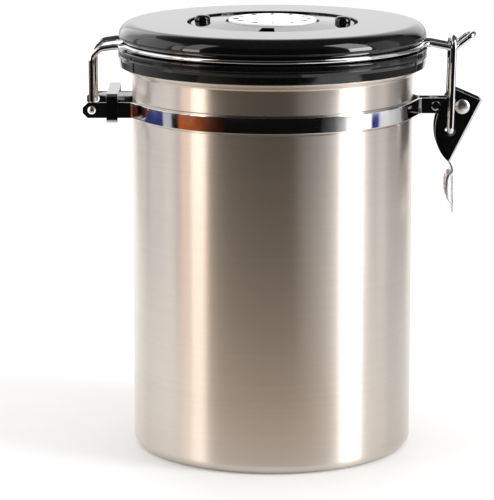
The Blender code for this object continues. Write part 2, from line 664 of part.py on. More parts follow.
def make_lid_shell(finish):
    """Glossy cap over the wire groove, with the dial's recess in its top and posts for the screws."""
    edge = CAP_EDGE
    lip_inside = GROOVE_RADIUS + GAP
    tuck = 4 * CAP_SETBACK
    roof_z = LID_TOP_Z - LID_WALL
    recess_wall = DIAL_RADIUS + LID_WALL
    bore = HUB_RADIUS + GAP
    profile = [(bore, SHELL_UNDER_Z), (bore, DIAL_FLOOR_Z), (DIAL_RADIUS, DIAL_FLOOR_Z),
               (DIAL_RADIUS, LID_TOP_Z - GAP), (DIAL_RADIUS + GAP, LID_TOP_Z)]
    profile += arc((CAP_RADIUS - edge, LID_TOP_Z - edge), edge, 90, 0, 4)
    profile += [(CAP_RADIUS, CAP_Z + tuck), (CAP_RADIUS - tuck, CAP_Z), (lip_inside, CAP_Z),
                (lip_inside, roof_z), (recess_wall, roof_z), (recess_wall, SHELL_UNDER_Z)]
    shell = turned("lid_shell", profile, finish, LARGE_TURN)
    post_end = PLUG_Z + PLUG_FLOOR + GAP
    post_top = roof_z + LID_WALL / 2
    for index in range(POST_COUNT):
        x, y = post_place(index)
        post = [(0, post_end), (POST_RADIUS, post_end), (POST_RADIUS, post_top), (0, post_top)]
        cut(shell, turned("lid_shell.post", post, None, TINY_TURN + 2, "Z", (x, y, 0)), "UNION")
        hole_end = post_end + SCREW_LENGTH
        drill(shell, SCREW_RADIUS + GAP, post_end - OVERRUN, hole_end, "Z", (x, y, 0), TINY_TURN)


def post_place(index):
    angle = math.pi / POST_COUNT + 2 * math.pi * index / POST_COUNT
    return POST_CIRCLE_RADIUS * math.cos(angle), POST_CIRCLE_RADIUS * math.sin(angle)


def make_lid_base(finish):
    """Lower half of the lid: the flange under the wire, its skirt, and the plug with the valve's socket."""
    skirt_z = FLANGE_Z - SKIRT_DROP
    rise_z = CAP_Z + CAP_HEIGHT / 3
    plug_inside = PLUG_RADIUS - LID_WALL
    tube_inside = GROOVE_RADIUS - LID_WALL
    floor_z = PLUG_Z + PLUG_FLOOR
    socket_top = SOCKET_Z + SOCKET_WALL
    round_over = SKIRT_WALL / 3
    ridge_drop_share = 0.6
    ridge_z = GROOVE_Z - FLANGE_THICKNESS * ridge_drop_share
    ridge = CAP_SETBACK
    profile = [(VALVE_HOLE_RADIUS, SOCKET_Z), (SOCKET_RADIUS, SOCKET_Z), (SOCKET_RADIUS, PLUG_Z),
               (PLUG_RADIUS - PLUG_EDGE, PLUG_Z), (PLUG_RADIUS, PLUG_Z + PLUG_EDGE), (PLUG_RADIUS, FLANGE_Z),
               (SKIRT_INNER_RADIUS, FLANGE_Z), (SKIRT_INNER_RADIUS, skirt_z),
               (FLANGE_RADIUS - 2 * round_over, skirt_z), (FLANGE_RADIUS - round_over / 2, FLANGE_Z),
               (FLANGE_RADIUS, ridge_z - ridge), (FLANGE_RADIUS - ridge, ridge_z),
               (FLANGE_RADIUS, ridge_z + ridge), (FLANGE_RADIUS, GROOVE_Z - round_over),
               (FLANGE_RADIUS - round_over, GROOVE_Z),
               (GROOVE_RADIUS, GROOVE_Z), (GROOVE_RADIUS, rise_z), (tube_inside, rise_z),
               (tube_inside, FLANGE_Z + LID_WALL), (plug_inside, FLANGE_Z + LID_WALL), (plug_inside, floor_z),
               (SOCKET_RADIUS + SOCKET_WALL, floor_z), (SOCKET_RADIUS + SOCKET_WALL, socket_top),
               (VALVE_HOLE_RADIUS, socket_top)]
    base = turned("lid_base", profile, finish, LARGE_TURN)
    for index in range(POST_COUNT):
        x, y = post_place(index)
        sink_z = PLUG_Z + SCREW_HEAD_HEIGHT + GAP
        drill(base, SCREW_RADIUS + GAP, PLUG_Z - OVERRUN, floor_z + OVERRUN, "Z", (x, y, 0), TINY_TURN)
        drill(base, SCREW_HEAD_RADIUS + GAP, PLUG_Z - OVERRUN, sink_z, "Z", (x, y, 0), TINY_TURN + 2)
    vent_circle = (VALVE_HUB_RADIUS + VALVE_RADIUS) / 2
    for index in range(VENT_COUNT):
        angle = 2 * math.pi * index / VENT_COUNT
        place = (vent_circle * math.cos(angle), vent_circle * math.sin(angle), 0)
        drill(base, VENT_RADIUS, SOCKET_Z - OVERRUN / 2, socket_top + OVERRUN, "Z", place, TINY_TURN)


def make_lid_screws(finish):
    """Identical screws that hold the lid's two halves together, each from below into its post."""
    head_z = PLUG_Z + SCREW_HEAD_HEIGHT
    tip_z = PLUG_Z + PLUG_FLOOR + SCREW_LENGTH - GAP
    profile = [(0, PLUG_Z), (SCREW_HEAD_RADIUS, PLUG_Z), (SCREW_HEAD_RADIUS, head_z),
               (SCREW_RADIUS, head_z), (SCREW_RADIUS, tip_z), (0, tip_z)]
    for index in range(POST_COUNT):
        x, y = post_place(index)
        turned(f"lid_screw_{index + 1}", profile, finish, TINY_TURN + 2, "Z", (x, y, 0))


def make_lid_gasket(finish):
    """Silicone ring on the vessel's rim, with a lip round the plug."""
    inside = PLUG_RADIUS + GAP
    outside = SKIRT_INNER_RADIUS - GAP
    top = GASKET_Z + GASKET_THICKNESS
    profile = [(inside, GASKET_Z - GASKET_LIP), (inside + GASKET_WALL, GASKET_Z - GASKET_LIP),
               (inside + GASKET_WALL, GASKET_Z), (outside, GASKET_Z), (outside, top), (inside, top)]
    turned("lid_gasket", profile, finish, LARGE_TURN)


# Date dial

def make_date_card(finish):
    """Fixed card under the ring that carries the day numbers."""
    inside = CARD_RADIUS - CARD_WIDTH
    top = CARD_Z + CARD_THICKNESS
    profile = [(inside, CARD_Z), (CARD_RADIUS, CARD_Z), (CARD_RADIUS, top), (inside, top)]
    turned("date_card", profile, finish, MEDIUM_TURN)


def make_date_ring(finish):
    """Turning plate with a window over the card and a seat for the month dial."""
    bore = HUB_RADIUS + GAP
    profile = [(bore, RING_Z), (RING_RADIUS, RING_Z), (RING_RADIUS, RING_EDGE_Z - GAP),
               (RING_RADIUS - GAP, RING_EDGE_Z), (MONTH_SEAT_RADIUS, RING_TOP_Z),
               (MONTH_SEAT_RADIUS, MONTH_SEAT_Z), (bore, MONTH_SEAT_Z)]
    ring = turned("date_ring", profile, finish, MEDIUM_TURN)
    outline = []
    for radius, way in ((WINDOW_INNER_RADIUS, 1), (WINDOW_OUTER_RADIUS, -1)):
        for turn in (-1, 0, 1):
            angle = RING_REST_ANGLE - math.pi / 2 + way * turn * WINDOW_HALF_ANGLE
            outline.append((radius * math.cos(angle), radius * math.sin(angle)))
    bm = bmesh.new()
    face = bm.faces.new([bm.verts.new((x, y, RING_Z - OVERRUN)) for x, y in outline])
    raised = bmesh.ops.extrude_face_region(bm, geom=[face])
    moved = [item for item in raised["geom"] if isinstance(item, bmesh.types.BMVert)]
    bmesh.ops.translate(bm, verts=moved, vec=(0, 0, RING_TOP_Z - RING_Z + 2 * OVERRUN))
    cut(ring, add_part("date_ring.window", bm, None))
    low = RING_Z - OVERRUN
    high = RING_TOP_Z + OVERRUN
    for side in (-1, 1):
        drill(ring, KNOB_STEM_RADIUS + GAP, low, high, "Z", knob_place(side), TINY_TURN)


def knob_place(side):
    across = side * KNOB_CIRCLE_RADIUS
    return across * math.cos(RING_REST_ANGLE), across * math.sin(RING_REST_ANGLE), 0


def make_date_knobs(finish):
    slope = RING_RISE / (RING_RADIUS - MONTH_SEAT_RADIUS)
    seat_z = RING_EDGE_Z + slope * (RING_RADIUS - KNOB_CIRCLE_RADIUS + KNOB_RADIUS) + GAP
    knob_shares = ((1.0, 0.0), (1.0, 0.35), (0.86, 0.72), (0.5, 0.95), (0.0, 1.0))
    for name, side in (("date_knob_left", -1), ("date_knob_right", 1)):
        profile = [(0, RING_Z), (KNOB_STEM_RADIUS, RING_Z), (KNOB_STEM_RADIUS, seat_z)]
        profile += [(KNOB_RADIUS * radius, seat_z + KNOB_HEIGHT * height) for radius, height in knob_shares]
        turned(name, profile, finish, SMALL_TURN, "Z", knob_place(side), (0, 0, 0))


def make_month_dial(face_finish, steel):
    """Month disc on its hub, held from below by a washer and a screw."""
    top = MONTH_Z + MONTH_THICKNESS
    bore = SCREW_RADIUS + GAP
    hub_z = SHELL_UNDER_Z + GAP
    bore_z = MONTH_Z + MONTH_THICKNESS / 3
    profile = [(bore, hub_z), (HUB_RADIUS, hub_z), (HUB_RADIUS, MONTH_Z), (MONTH_RADIUS, MONTH_Z),
               (MONTH_RADIUS, top - MONTH_EDGE), (MONTH_RADIUS - MONTH_EDGE, top), (0, top),
               (0, bore_z), (bore, bore_z)]
    turned("month_dial", profile, face_finish, MEDIUM_TURN)
    washer_top = SHELL_UNDER_Z - GAP
    washer_z = washer_top - WASHER_THICKNESS
    washer = [(bore, washer_z), (WASHER_RADIUS, washer_z), (WASHER_RADIUS, washer_top), (bore, washer_top)]
    turned("dial_washer", washer, steel, SMALL_TURN)
    head_z = washer_z - GAP
    screw = [(0, head_z - SCREW_HEAD_HEIGHT), (SCREW_HEAD_RADIUS, head_z - SCREW_HEAD_HEIGHT),
             (SCREW_HEAD_RADIUS, head_z), (SCREW_RADIUS, head_z),
             (SCREW_RADIUS, bore_z - GAP), (0, bore_z - GAP)]
    turned("dial_screw", screw, steel, TINY_TURN + 2)


# Valve

def make_one_way_valve(finish):
    """White silicone valve: a flat skirt, a cone and a raised hub with a hole."""
    top = VALVE_Z + VALVE_HEIGHT
    hub_step = VALVE_HEIGHT / 3
    cone_share = 1.6
    hub_top_share = 0.9
    profile = [(VALVE_HOLE_RADIUS, VALVE_Z), (VALVE_RADIUS, VALVE_Z), (VALVE_RADIUS, VALVE_Z + VALVE_SKIRT),
               (VALVE_HUB_RADIUS * cone_share, top - hub_step), (VALVE_HUB_RADIUS, top - hub_step),
               (VALVE_HUB_RADIUS * hub_top_share, top), (VALVE_HOLE_RADIUS, top)]
    turned("one_way_valve", profile, finish, VALVE_TURN)


def make_valve_cover(finish):
    """Slotted cover that twists into the plug's socket and holds the valve."""
    high = PLUG_Z - GAP
    low = high - COVER_THICKNESS
    collar_outside = SOCKET_RADIUS - GAP
    collar_inside = collar_outside - COVER_WALL
    collar_top = high + COVER_COLLAR_HEIGHT
    edge = COVER_THICKNESS / 2
    outside = SOCKET_RADIUS + COVER_FLANGE
    profile = [(0, low), (outside - edge, low), (outside, low + edge), (outside, high),
               (collar_outside, high), (collar_outside, collar_top), (collar_inside, collar_top),
               (collar_inside, high), (0, high)]
    cover = turned("valve_cover", profile, finish, VALVE_TURN)
    slot_start_share = 0.35
    slot_end_share = 0.85
    near = collar_inside * slot_start_share
    far = collar_inside * slot_end_share
    below = low - OVERRUN
    above = high + OVERRUN
    slot = [(near, below), (far, below), (far, above), (near, above)]
    for index in range(COVER_SLOT_COUNT):
        bm = prism_mesh(slot, -COVER_SLOT_WIDTH / 2, COVER_SLOT_WIDTH / 2)
        turn = Matrix.Rotation(2 * math.pi * index / COVER_SLOT_COUNT, 3, "Z")
        bmesh.ops.rotate(bm, verts=bm.verts, matrix=turn)
        cut(cover, add_part("valve_cover.slot", bm, None))


def main():
    clear_scene()
    steel = make_material("brushed steel", (0.62, 0.58, 0.54), 0.32, 1.0)
    chrome = make_material("polished chrome", (0.78, 0.78, 0.78), 0.08, 1.0)
    black = make_material("gloss black plastic", (0.012, 0.012, 0.013), 0.12, 0.0)
    inner_black = make_material("matt black plastic", (0.02, 0.02, 0.02), 0.5, 0.0)
    silicone = make_material("white silicone", (0.82, 0.82, 0.8), 0.55, 0.0)
    white = make_material("white dial", (0.85, 0.85, 0.85), 0.35, 0.0)
    make_canister_body(steel)
    make_strap("band_front", 1, chrome)
    make_strap("band_back", -1, chrome)
    make_hinge_clip(chrome)
    make_band_rivets(chrome)
    make_bail_wire(chrome)
    make_latch_lever(chrome)
    make_latch_loop(chrome)
    make_lid_shell(black)
    make_lid_base(inner_black)
    make_lid_screws(chrome)
    make_lid_gasket(silicone)
    make_date_card(inner_black)
    make_date_ring(black)
    make_date_knobs(black)
    make_month_dial(white, chrome)
    make_one_way_valve(silicone)
    make_valve_cover(inner_black)


main()
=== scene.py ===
# Coffee canister with a wire latch and a date dial, dressed for its photograph.
# Lengths are in millimetres until a piece is made; unit turns them into metres.
import math

import bmesh
import bpy
from mathutils import Matrix, Vector
from mathutils.geometry import interpolate_bezier
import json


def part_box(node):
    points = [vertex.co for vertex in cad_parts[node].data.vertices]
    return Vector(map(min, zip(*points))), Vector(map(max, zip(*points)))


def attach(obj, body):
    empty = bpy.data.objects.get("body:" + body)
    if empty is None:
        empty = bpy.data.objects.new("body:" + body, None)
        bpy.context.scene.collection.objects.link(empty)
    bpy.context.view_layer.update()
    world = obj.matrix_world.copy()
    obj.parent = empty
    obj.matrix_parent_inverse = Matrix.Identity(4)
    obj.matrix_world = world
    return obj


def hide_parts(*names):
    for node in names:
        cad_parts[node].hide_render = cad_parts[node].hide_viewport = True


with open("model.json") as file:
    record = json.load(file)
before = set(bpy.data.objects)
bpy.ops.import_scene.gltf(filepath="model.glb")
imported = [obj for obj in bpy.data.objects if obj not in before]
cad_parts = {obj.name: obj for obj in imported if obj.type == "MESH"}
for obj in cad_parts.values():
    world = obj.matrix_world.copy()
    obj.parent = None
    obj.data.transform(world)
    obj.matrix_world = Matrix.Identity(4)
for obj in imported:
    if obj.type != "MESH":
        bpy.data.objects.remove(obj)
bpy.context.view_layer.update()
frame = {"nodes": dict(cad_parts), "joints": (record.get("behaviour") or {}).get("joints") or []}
unit = 0.001
gap = 0.3
overcut = 1  # how far a cutter reaches past the faces that it opens
fineTurn = 192
smallTurn = 48
wireSides = 24


# Where things are, read from the frame

def cad(node):
    low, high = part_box(node)
    return Vector(low) / unit, Vector(high) / unit


def jointPlace(name):
    joint = next(item for item in frame["joints"] if item["name"] == name)
    return Vector(joint["pos_m"]) / unit


hinge = jointPlace("lid_open")
pivot = jointPlace("lever_turn")
loopPin = jointPlace("loop_swing")
bandLow, bandHigh = cad("band_front")
bandHeight = bandHigh.z - bandLow.z
flareReach = 3.95
rimRadius = cad("canister_body")[1].x
bodyRadius = rimRadius - flareReach
bodyTop = cad("canister_body")[1].z


# Shapes

almostStraight = 0.01  # a bend in radians that needs no rounding
almostOn = 0.003  # a corner this near a line is on it
mostOfEdge = 0.48  # how much of an edge a rounding may use


# Points of the arc that rounds one corner, in two or three dimensions
def fillet(before, corner, after, radius, steps):
    back, ahead = before - corner, after - corner
    half = back.angle(ahead) / 2
    if math.pi / 2 - half < almostStraight:
        return [corner]
    reach = min(radius / math.tan(half), mostOfEdge * back.length, mostOfEdge * ahead.length)
    middle = corner + (back.normalized() + ahead.normalized()).normalized() * reach / math.cos(half)
    first = corner + back.normalized() * reach - middle
    last = corner + ahead.normalized() * reach - middle
    turn = math.pi - 2 * half
    points = []
    for step in range(steps + 1):
        share = step / steps
        swing = first * math.sin((1 - share) * turn) + last * math.sin(share * turn)
        points.append(middle + swing / math.sin(turn))
    return points


def rounded(corners, radii, steps=6, closed=False):
    points = []
    for index, (corner, radius) in enumerate(zip(corners, radii)):
        isEnd = not closed and index in (0, len(corners) - 1)
        if radius and not isEnd:
            before = Vector(corners[index - 1])
            after = Vector(corners[(index + 1) % len(corners)])
            points += fillet(before, Vector(corner), after, radius, steps)
        else:
            points.append(Vector(corner))
    return points


# A closed profile of (radius, height) or (radius, height, rounding)
def outline(corners, steps=4):
    places = [corner[:2] for corner in corners]
    radii = [corner[2] if len(corner) > 2 else 0 for corner in corners]
    return rounded(places, radii, steps, closed=True)


def bezier(start, startHandle, endHandle, end, steps):
    corners = [Vector((*point, 0)) for point in (start, startHandle, endHandle, end)]
    return [(point.x, point.y) for point in interpolate_bezier(*corners, steps + 1)]


def polar(radius, angle):
    return radius * math.cos(angle), radius * math.sin(angle)


def lathe(profile, steps=fineTurn, axis="Z", centre=(0, 0, 0)):
    bm = bmesh.new()
    rings = []
    for radius, height in profile:
        if radius == 0:
            rings.append([bm.verts.new((0, 0, height))])
            continue
        angles = [2 * math.pi * step / steps for step in range(steps)]
        rings.append([bm.verts.new((*polar(radius, angle), height)) for angle in angles])
    for near, far in zip(rings, rings[1:] + rings[:1]):
        if len(near) == 1 and len(far) == 1:
            continue
        for step in range(steps):
            after = (step + 1) % steps
            corners = [near[step % len(near)], near[after % len(near)]]
            corners += [far[after % len(far)], far[step % len(far)]]
            bm.faces.new(list(dict.fromkeys(corners)))
    if axis == "Y":
        bmesh.ops.rotate(bm, verts=bm.verts, matrix=Matrix.Rotation(-math.pi / 2, 3, "X"))
    bmesh.ops.translate(bm, verts=bm.verts, vec=centre)
    return bm


def rod(radius, low, high, axis, centre):
    return lathe([(0, low), (radius, low), (radius, high), (0, high)], smallTurn, axis, centre)


# A flat face drawn out into a solid
def drawOut(corners, way):
    bm = bmesh.new()
    face = bm.faces.new([bm.verts.new(corner) for corner in corners])
    raised = bmesh.ops.extrude_face_region(bm, geom=[face])
    moved = [item for item in raised["geom"] if isinstance(item, bmesh.types.BMVert)]
    bmesh.ops.translate(bm, verts=moved, vec=way)
    return bm


# A side view of (x, z) pairs, drawn out along Y
def prism(points, low, high):
    return drawOut([(point[0], low, point[1]) for point in points], (0, high - low, 0))


# Faces from ring to ring, and one over each end
def skin(bm, rings):
    sides = len(rings[0])
    for near, far in zip(rings, rings[1:]):
        for step in range(sides):
            after = (step + 1) % sides
            bm.faces.new((near[step], near[after], far[after], far[step]))
    bm.faces.new(rings[0])
    bm.faces.new(rings[-1])


# A flat strip along a path; across is half its width, as a vector
def strip(path, across, thickness):
    bm = bmesh.new()
    rings = []
    for index, point in enumerate(path):
        before = path[max(index - 1, 0)]
        after = path[min(index + 1, len(path) - 1)]
        side = (after - before).cross(across).normalized() * thickness / 2
        corners = (point - side - across, point + side - across,
                   point + side + across, point - side + across)
        rings.append([bm.verts.new(corner) for corner in corners])
    skin(bm, rings)
    return bm


domeAngles = (0, 25, 50, 72, 86)  # degrees from a wire's side to the tip of its end
domeDepth = 0.6  # of the wire's radius
upright = 0.9  # a wire steeper than this starts from another side


# A round wire along a path, with domed ends
def tube(path, radius):
    stations = [(point, 1.0) for point in path]
    for end, inner in ((0, 1), (-1, -2)):
        outward = (path[end] - path[inner]).normalized()
        cap = []
        for angle in domeAngles:
            lean = math.radians(angle)
            depth = radius * domeDepth * (1 - math.sin(lean))
            cap.append((path[end] - outward * depth, math.cos(lean)))
        stations = cap[::-1] + stations[1:] if end == 0 else stations[:-1] + cap
    bm = bmesh.new()
    side = Vector((0, 0, 1))
    rings = []
    for index, (point, share) in enumerate(stations):
        before = stations[max(index - 1, 0)][0]
        after = stations[min(index + 1, len(stations) - 1)][0]
        along = (after - before).normalized()
        if index == 0 and abs(along.z) > upright:
            side = Vector((1, 0, 0))
        side = (side - along * side.dot(along)).normalized()
        other = along.cross(side)
        ring = []
        for step in range(wireSides):
            angle = 2 * math.pi * step / wireSides
            place = point + (side * math.cos(angle) + other * math.sin(angle)) * radius * share
            ring.append(bm.verts.new(place))
        rings.append(ring)
    skin(bm, rings)
    return bm


def addObject(name, data):
    made = bpy.data.objects.new(name, data)
    bpy.context.scene.collection.objects.link(made)
    return made


def makePiece(name, bm, material=None):
    bmesh.ops.recalc_face_normals(bm, faces=bm.faces)
    bmesh.ops.scale(bm, verts=bm.verts, vec=(unit, unit, unit))
    mesh = bpy.data.meshes.new(name)
    bm.to_mesh(mesh)
    bm.free()
    if material:
        mesh.materials.append(material)
    return addObject(name, mesh)


# Keep what the modifiers make as the piece's own mesh
def settle(piece):
    view = bpy.context.evaluated_depsgraph_get()
    mesh = bpy.data.meshes.new_from_object(piece.evaluated_get(view))
    piece.modifiers.clear()
    piece.data = mesh


# The exact solver may split a flat face another way each run, the manifold one never does
def carve(piece, cutter, solver="EXACT"):
    guide = makePiece("guide", cutter)
    step = piece.modifiers.new("carve", "BOOLEAN")
    step.operation = "DIFFERENCE"
    step.solver = solver
    step.object = guide
    settle(piece)
    bpy.data.objects.remove(guide)


def softenEdges(piece, width, segments=2, angle=38):
    step = piece.modifiers.new("soften", "BEVEL")
    step.width = width * unit
    step.segments = segments
    step.limit_method = "ANGLE"
    step.angle_limit = math.radians(angle)
    settle(piece)


sharpAngle = 42  # degrees; a bend above this stays a crisp edge


# Smooth shading, the body it rides on and the nodes it stands for, which it hides; the material slot
# is not used
def dress(piece, body, slot, *nodes):
    piece.data.shade_smooth()
    piece.data.set_sharp_from_angle(angle=math.radians(sharpAngle))
    even = piece.modifiers.new("even shading", "WEIGHTED_NORMAL")
    even.keep_sharp = True
    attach(piece, body)
    if nodes:
        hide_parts(*nodes)


# Materials

# A colour for a socket, from one number for a grey or from three
def tone(colour):
    return (colour, colour, colour, 1) if isinstance(colour, float) else (*colour, 1)


def surface(made):
    return made.node_tree.nodes["Principled BSDF"]


def newMaterial(name, colour, roughness, metallic=0.0, **settings):
    made = bpy.data.materials.new(name)
    made.use_nodes = True
    shader = surface(made)
    shader.inputs["Base Color"].default_value = tone(colour)
    shader.inputs["Roughness"].default_value = roughness
    shader.inputs["Metallic"].default_value = metallic
    for socket, value in settings.items():
        shader.inputs[socket.replace("_", " ")].default_value = value
    return made


# A noise field in the piece's own space; counts are its waves per millimetre along each axis
def grain(made, counts, detail):
    nodes, links = made.node_tree.nodes, made.node_tree.links
    place = nodes.new("ShaderNodeTexCoord")
    stretch = nodes.new("ShaderNodeMapping")
    stretch.inputs["Scale"].default_value = [count / unit for count in counts]
    field = nodes.new("ShaderNodeTexNoise")
    field.inputs["Scale"].default_value = 1
    field.inputs["Detail"].default_value = detail
    links.new(place.outputs["Object"], stretch.inputs["Vector"])
    links.new(stretch.outputs["Vector"], field.inputs["Vector"])
    return field.outputs["Fac"]


def ranged(made, source, low, high, start=0.35, end=0.65):
    node = made.node_tree.nodes.new("ShaderNodeMapRange")
    node.inputs["From Min"].default_value = start
    node.inputs["From Max"].default_value = end
    node.inputs["To Min"].default_value = low
    node.inputs["To Max"].default_value = high
    made.node_tree.links.new(source, node.inputs["Value"])
    return node.outputs["Result"]


def varyRoughness(made, source, low, high):
    made.node_tree.links.new(ranged(made, source, low, high), surface(made).inputs["Roughness"])


def varyColour(made, source, first, second):
    mix = made.node_tree.nodes.new("ShaderNodeMix")
    mix.data_type = "RGBA"
    mix.inputs["A"].default_value = tone(first)
    mix.inputs["B"].default_value = tone(second)
    made.node_tree.links.new(ranged(made, source, 0, 1), mix.inputs["Factor"])
    made.node_tree.links.new(mix.outputs["Result"], surface(made).inputs["Base Color"])


# Bumps of the given height in millimetres
def addRelief(made, source, height):
    bump = made.node_tree.nodes.new("ShaderNodeBump")
    bump.inputs["Strength"].default_value = 1
    bump.inputs["Distance"].default_value = height * unit
    made.node_tree.links.new(source, bump.inputs["Height"])
    made.node_tree.links.new(bump.outputs["Normal"], surface(made).inputs["Normal"])


# Hairlines run round the vessel, so the sheen spreads up and down and the streaks are fine along Z
brushSize = {
    "colour": (0.66, 0.59, 0.53),
    "paler": (0.67, 0.605, 0.545),
    "darker": (0.65, 0.585, 0.525),
    "roughness": (0.3, 0.32),
    "spread": 0.96,
    "streaks": (0.02, 0.02, 2.5),
    "bands": (0.01, 0.01, 1.0),
    "detail": 4.0,
    "depth": 0.0006,
}


def makeBrushedSteel(size):
    low, high = size["roughness"]
    lay = {"Anisotropic": size["spread"], "Anisotropic_Rotation": 0.25}
    made = newMaterial("brushedSteel", size["colour"], (low + high) / 2, 1.0, **lay)
    streaks = grain(made, size["streaks"], size["detail"])
    varyRoughness(made, streaks, low, high)
    varyColour(made, grain(made, size["bands"], size["detail"]), size["darker"], size["paler"])
    addRelief(made, streaks, size["depth"])
    tangent = made.node_tree.nodes.new("ShaderNodeTangent")
    tangent.direction_type = "RADIAL"
    tangent.axis = "Z"
    made.node_tree.links.new(tangent.outputs["Tangent"], surface(made).inputs["Tangent"])
    return made


# Other finishes. Wear is the roughness: waves per millimetre, detail, lowest and highest.
# Drift is the colour: waves, detail and its two ends. Relief: waves, detail and height in millimetres.
finishes = {
    "polishedChrome": {
        "look": {"colour": (0.66, 0.66, 0.67), "roughness": 0.06, "metallic": 1.0},
        "wear": (0.2, 6.0, 0.04, 0.1),
        "drift": (0.05, 2.0, (0.64, 0.64, 0.65), 0.68),
        "relief": (0.12, 2.0, 0.02),
    },
    "platedSteel": {
        "look": {"colour": 0.5, "roughness": 0.08, "metallic": 1.0,
                 "Specular_Tint": (0.72, 0.72, 0.72, 1)},
        "wear": (0.3, 6.0, 0.06, 0.12),
        "drift": (0.1, 2.0, 0.48, 0.53),
        "relief": (0.15, 2.0, 0.02),
    },
    "glossBlack": {
        "look": {"colour": (0.0016, 0.0016, 0.0018), "roughness": 0.06, "IOR": 1.52},
        "wear": (0.15, 6.0, 0.045, 0.085),
        "drift": (0.6, 6.0, (0.0012, 0.0012, 0.0014), (0.0022, 0.0022, 0.0024)),
        "relief": (0.04, 1.0, 0.015),
    },
    "mattBlack": {
        "look": {"colour": (0.02, 0.02, 0.021), "roughness": 0.5},
        "wear": (0.4, 4.0, 0.4, 0.6),
        "drift": (0.1, 3.0, (0.018, 0.018, 0.019), (0.026, 0.026, 0.027)),
        "relief": (3.0, 2.0, 0.02),
    },
    "silicone": {
        "look": {"colour": (0.82, 0.82, 0.8), "roughness": 0.45,
                 "Subsurface_Weight": 0.25, "Subsurface_Scale": 2 * unit},
        "wear": (0.3, 4.0, 0.38, 0.55),
        "drift": (0.08, 2.0, (0.8, 0.8, 0.775), (0.84, 0.84, 0.825)),
        "relief": (2.0, 2.0, 0.01),
    },
    "dialWhite": {
        "look": {"colour": 0.86, "roughness": 0.22},
        "wear": (0.3, 5.0, 0.17, 0.27),
        "drift": (0.1, 2.0, 0.85, (0.88, 0.88, 0.875)),
        "relief": (0.5, 2.0, 0.004),
    },
    "blackInk": {
        "look": {"colour": 0.02, "roughness": 0.5, "Specular_IOR_Level": 0.05},
        "wear": (2.0, 3.0, 0.4, 0.6),
    },
    "whiteInk": {
        "look": {"colour": 0.85, "roughness": 0.5, "Specular_IOR_Level": 0.05},
        "wear": (2.0, 3.0, 0.4, 0.6),
    },
    "screwSteel": {
        "look": {"colour": (0.66, 0.66, 0.65), "roughness": 0.25, "metallic": 1.0},
        "wear": (1.0, 4.0, 0.18, 0.34),
        "relief": (1.5, 3.0, 0.005),
    },
    "satinSteel": {
        "look": {"colour": (0.7, 0.69, 0.67), "roughness": 0.3, "metallic": 1.0},
        "wear": (1.5, 4.0, 0.25, 0.36),
        "drift": (0.4, 3.0, (0.68, 0.67, 0.65), (0.73, 0.72, 0.7)),
        "relief": (2.5, 2.0, 0.004),
    },
}


def makeFinish(name):
    finish = finishes[name]
    made = newMaterial(name, **finish["look"])
    ways = {"wear": varyRoughness, "drift": varyColour, "relief": addRelief}
    for part, apply in ways.items():
        if part in finish:
            waves, detail, *rest = finish[part]
            apply(made, grain(made, [waves] * 3, detail), *rest)
    return made


brushedSteel = makeBrushedSteel(brushSize)
chrome = makeFinish("polishedChrome")
platedSteel = makeFinish("platedSteel")
glossBlack = makeFinish("glossBlack")
mattBlack = makeFinish("mattBlack")
silicone = makeFinish("silicone")
dialWhite = makeFinish("dialWhite")
blackInk = makeFinish("blackInk")
whiteInk = makeFinish("whiteInk")
screwSteel = makeFinish("screwSteel")
satinSteel = makeFinish("satinSteel")
print("materials made")


# Vessel

bodySize = {
    "wall": 0.8,
    "baseCorner": 4.5,
    "footWidth": 6.0,
    "beadWidth": 8.0,
    "beadShoulder": 1.6,
    "beadDepth": 1.0,
    "beadRound": 0.6,
    "flareHeight": 3.4,
    "curl": 0.9,
    "curlSteps": 12,
    "grooveDepth": 0.4,
    "grooveEdge": 0.6,
    "grooveRound": 0.3,
}


def makeBody(size):
    foot = bodyRadius - size["baseCorner"]
    beadEnd = foot - size["footWidth"]
    panel = beadEnd - size["beadWidth"]
    shoulder, depth, wall = size["beadShoulder"], size["beadDepth"], size["wall"]
    curlRadius = rimRadius - size["curl"]
    curlZ = bodyTop - size["curl"]
    flareZ = curlZ - size["flareHeight"]
    handle = size["flareHeight"] / 2
    halfGroove = bandHeight / 2 + size["grooveEdge"]
    groove = bodyRadius - size["grooveDepth"]
    low, high = pivot.z - halfGroove, pivot.z + halfGroove
    bead, edge = size["beadRound"], size["grooveRound"]
    corners = [(0, 0), (panel, 0, bead), (panel + shoulder, depth, bead),
               (beadEnd - shoulder, depth, bead), (beadEnd, 0, bead),
               (bodyRadius, 0, size["baseCorner"]),
               (bodyRadius, low - size["grooveDepth"], edge), (groove, low, edge),
               (groove, high, edge), (bodyRadius, high + size["grooveDepth"], edge)]
    corners += bezier((bodyRadius, flareZ), (bodyRadius, flareZ + handle),
                      (rimRadius, curlZ - handle), (rimRadius, curlZ), steps=12)
    curl, steps = size["curl"], size["curlSteps"]
    for step in range(1, steps + 1):
        angle = math.pi * step / steps
        corners.append((curlRadius + curl * math.cos(angle), curlZ + curl * math.sin(angle)))
    inside = curlRadius - curl
    corners += bezier((inside, curlZ), (inside, curlZ - handle),
                      (bodyRadius - wall, flareZ + handle), (bodyRadius - wall, flareZ), steps=10)[1:]
    corners += [(bodyRadius - wall, wall, size["baseCorner"] - wall), (beadEnd, wall, bead),
                (beadEnd - shoulder, wall + depth, bead), (panel + shoulder, wall + depth, bead),
                (panel, wall, bead), (0, wall)]
    body = makePiece("canisterBody", lathe(outline(corners, steps=6)), brushedSteel)
    dress(body, "canister", "brushed_steel", "canister_body")


# Clamp band

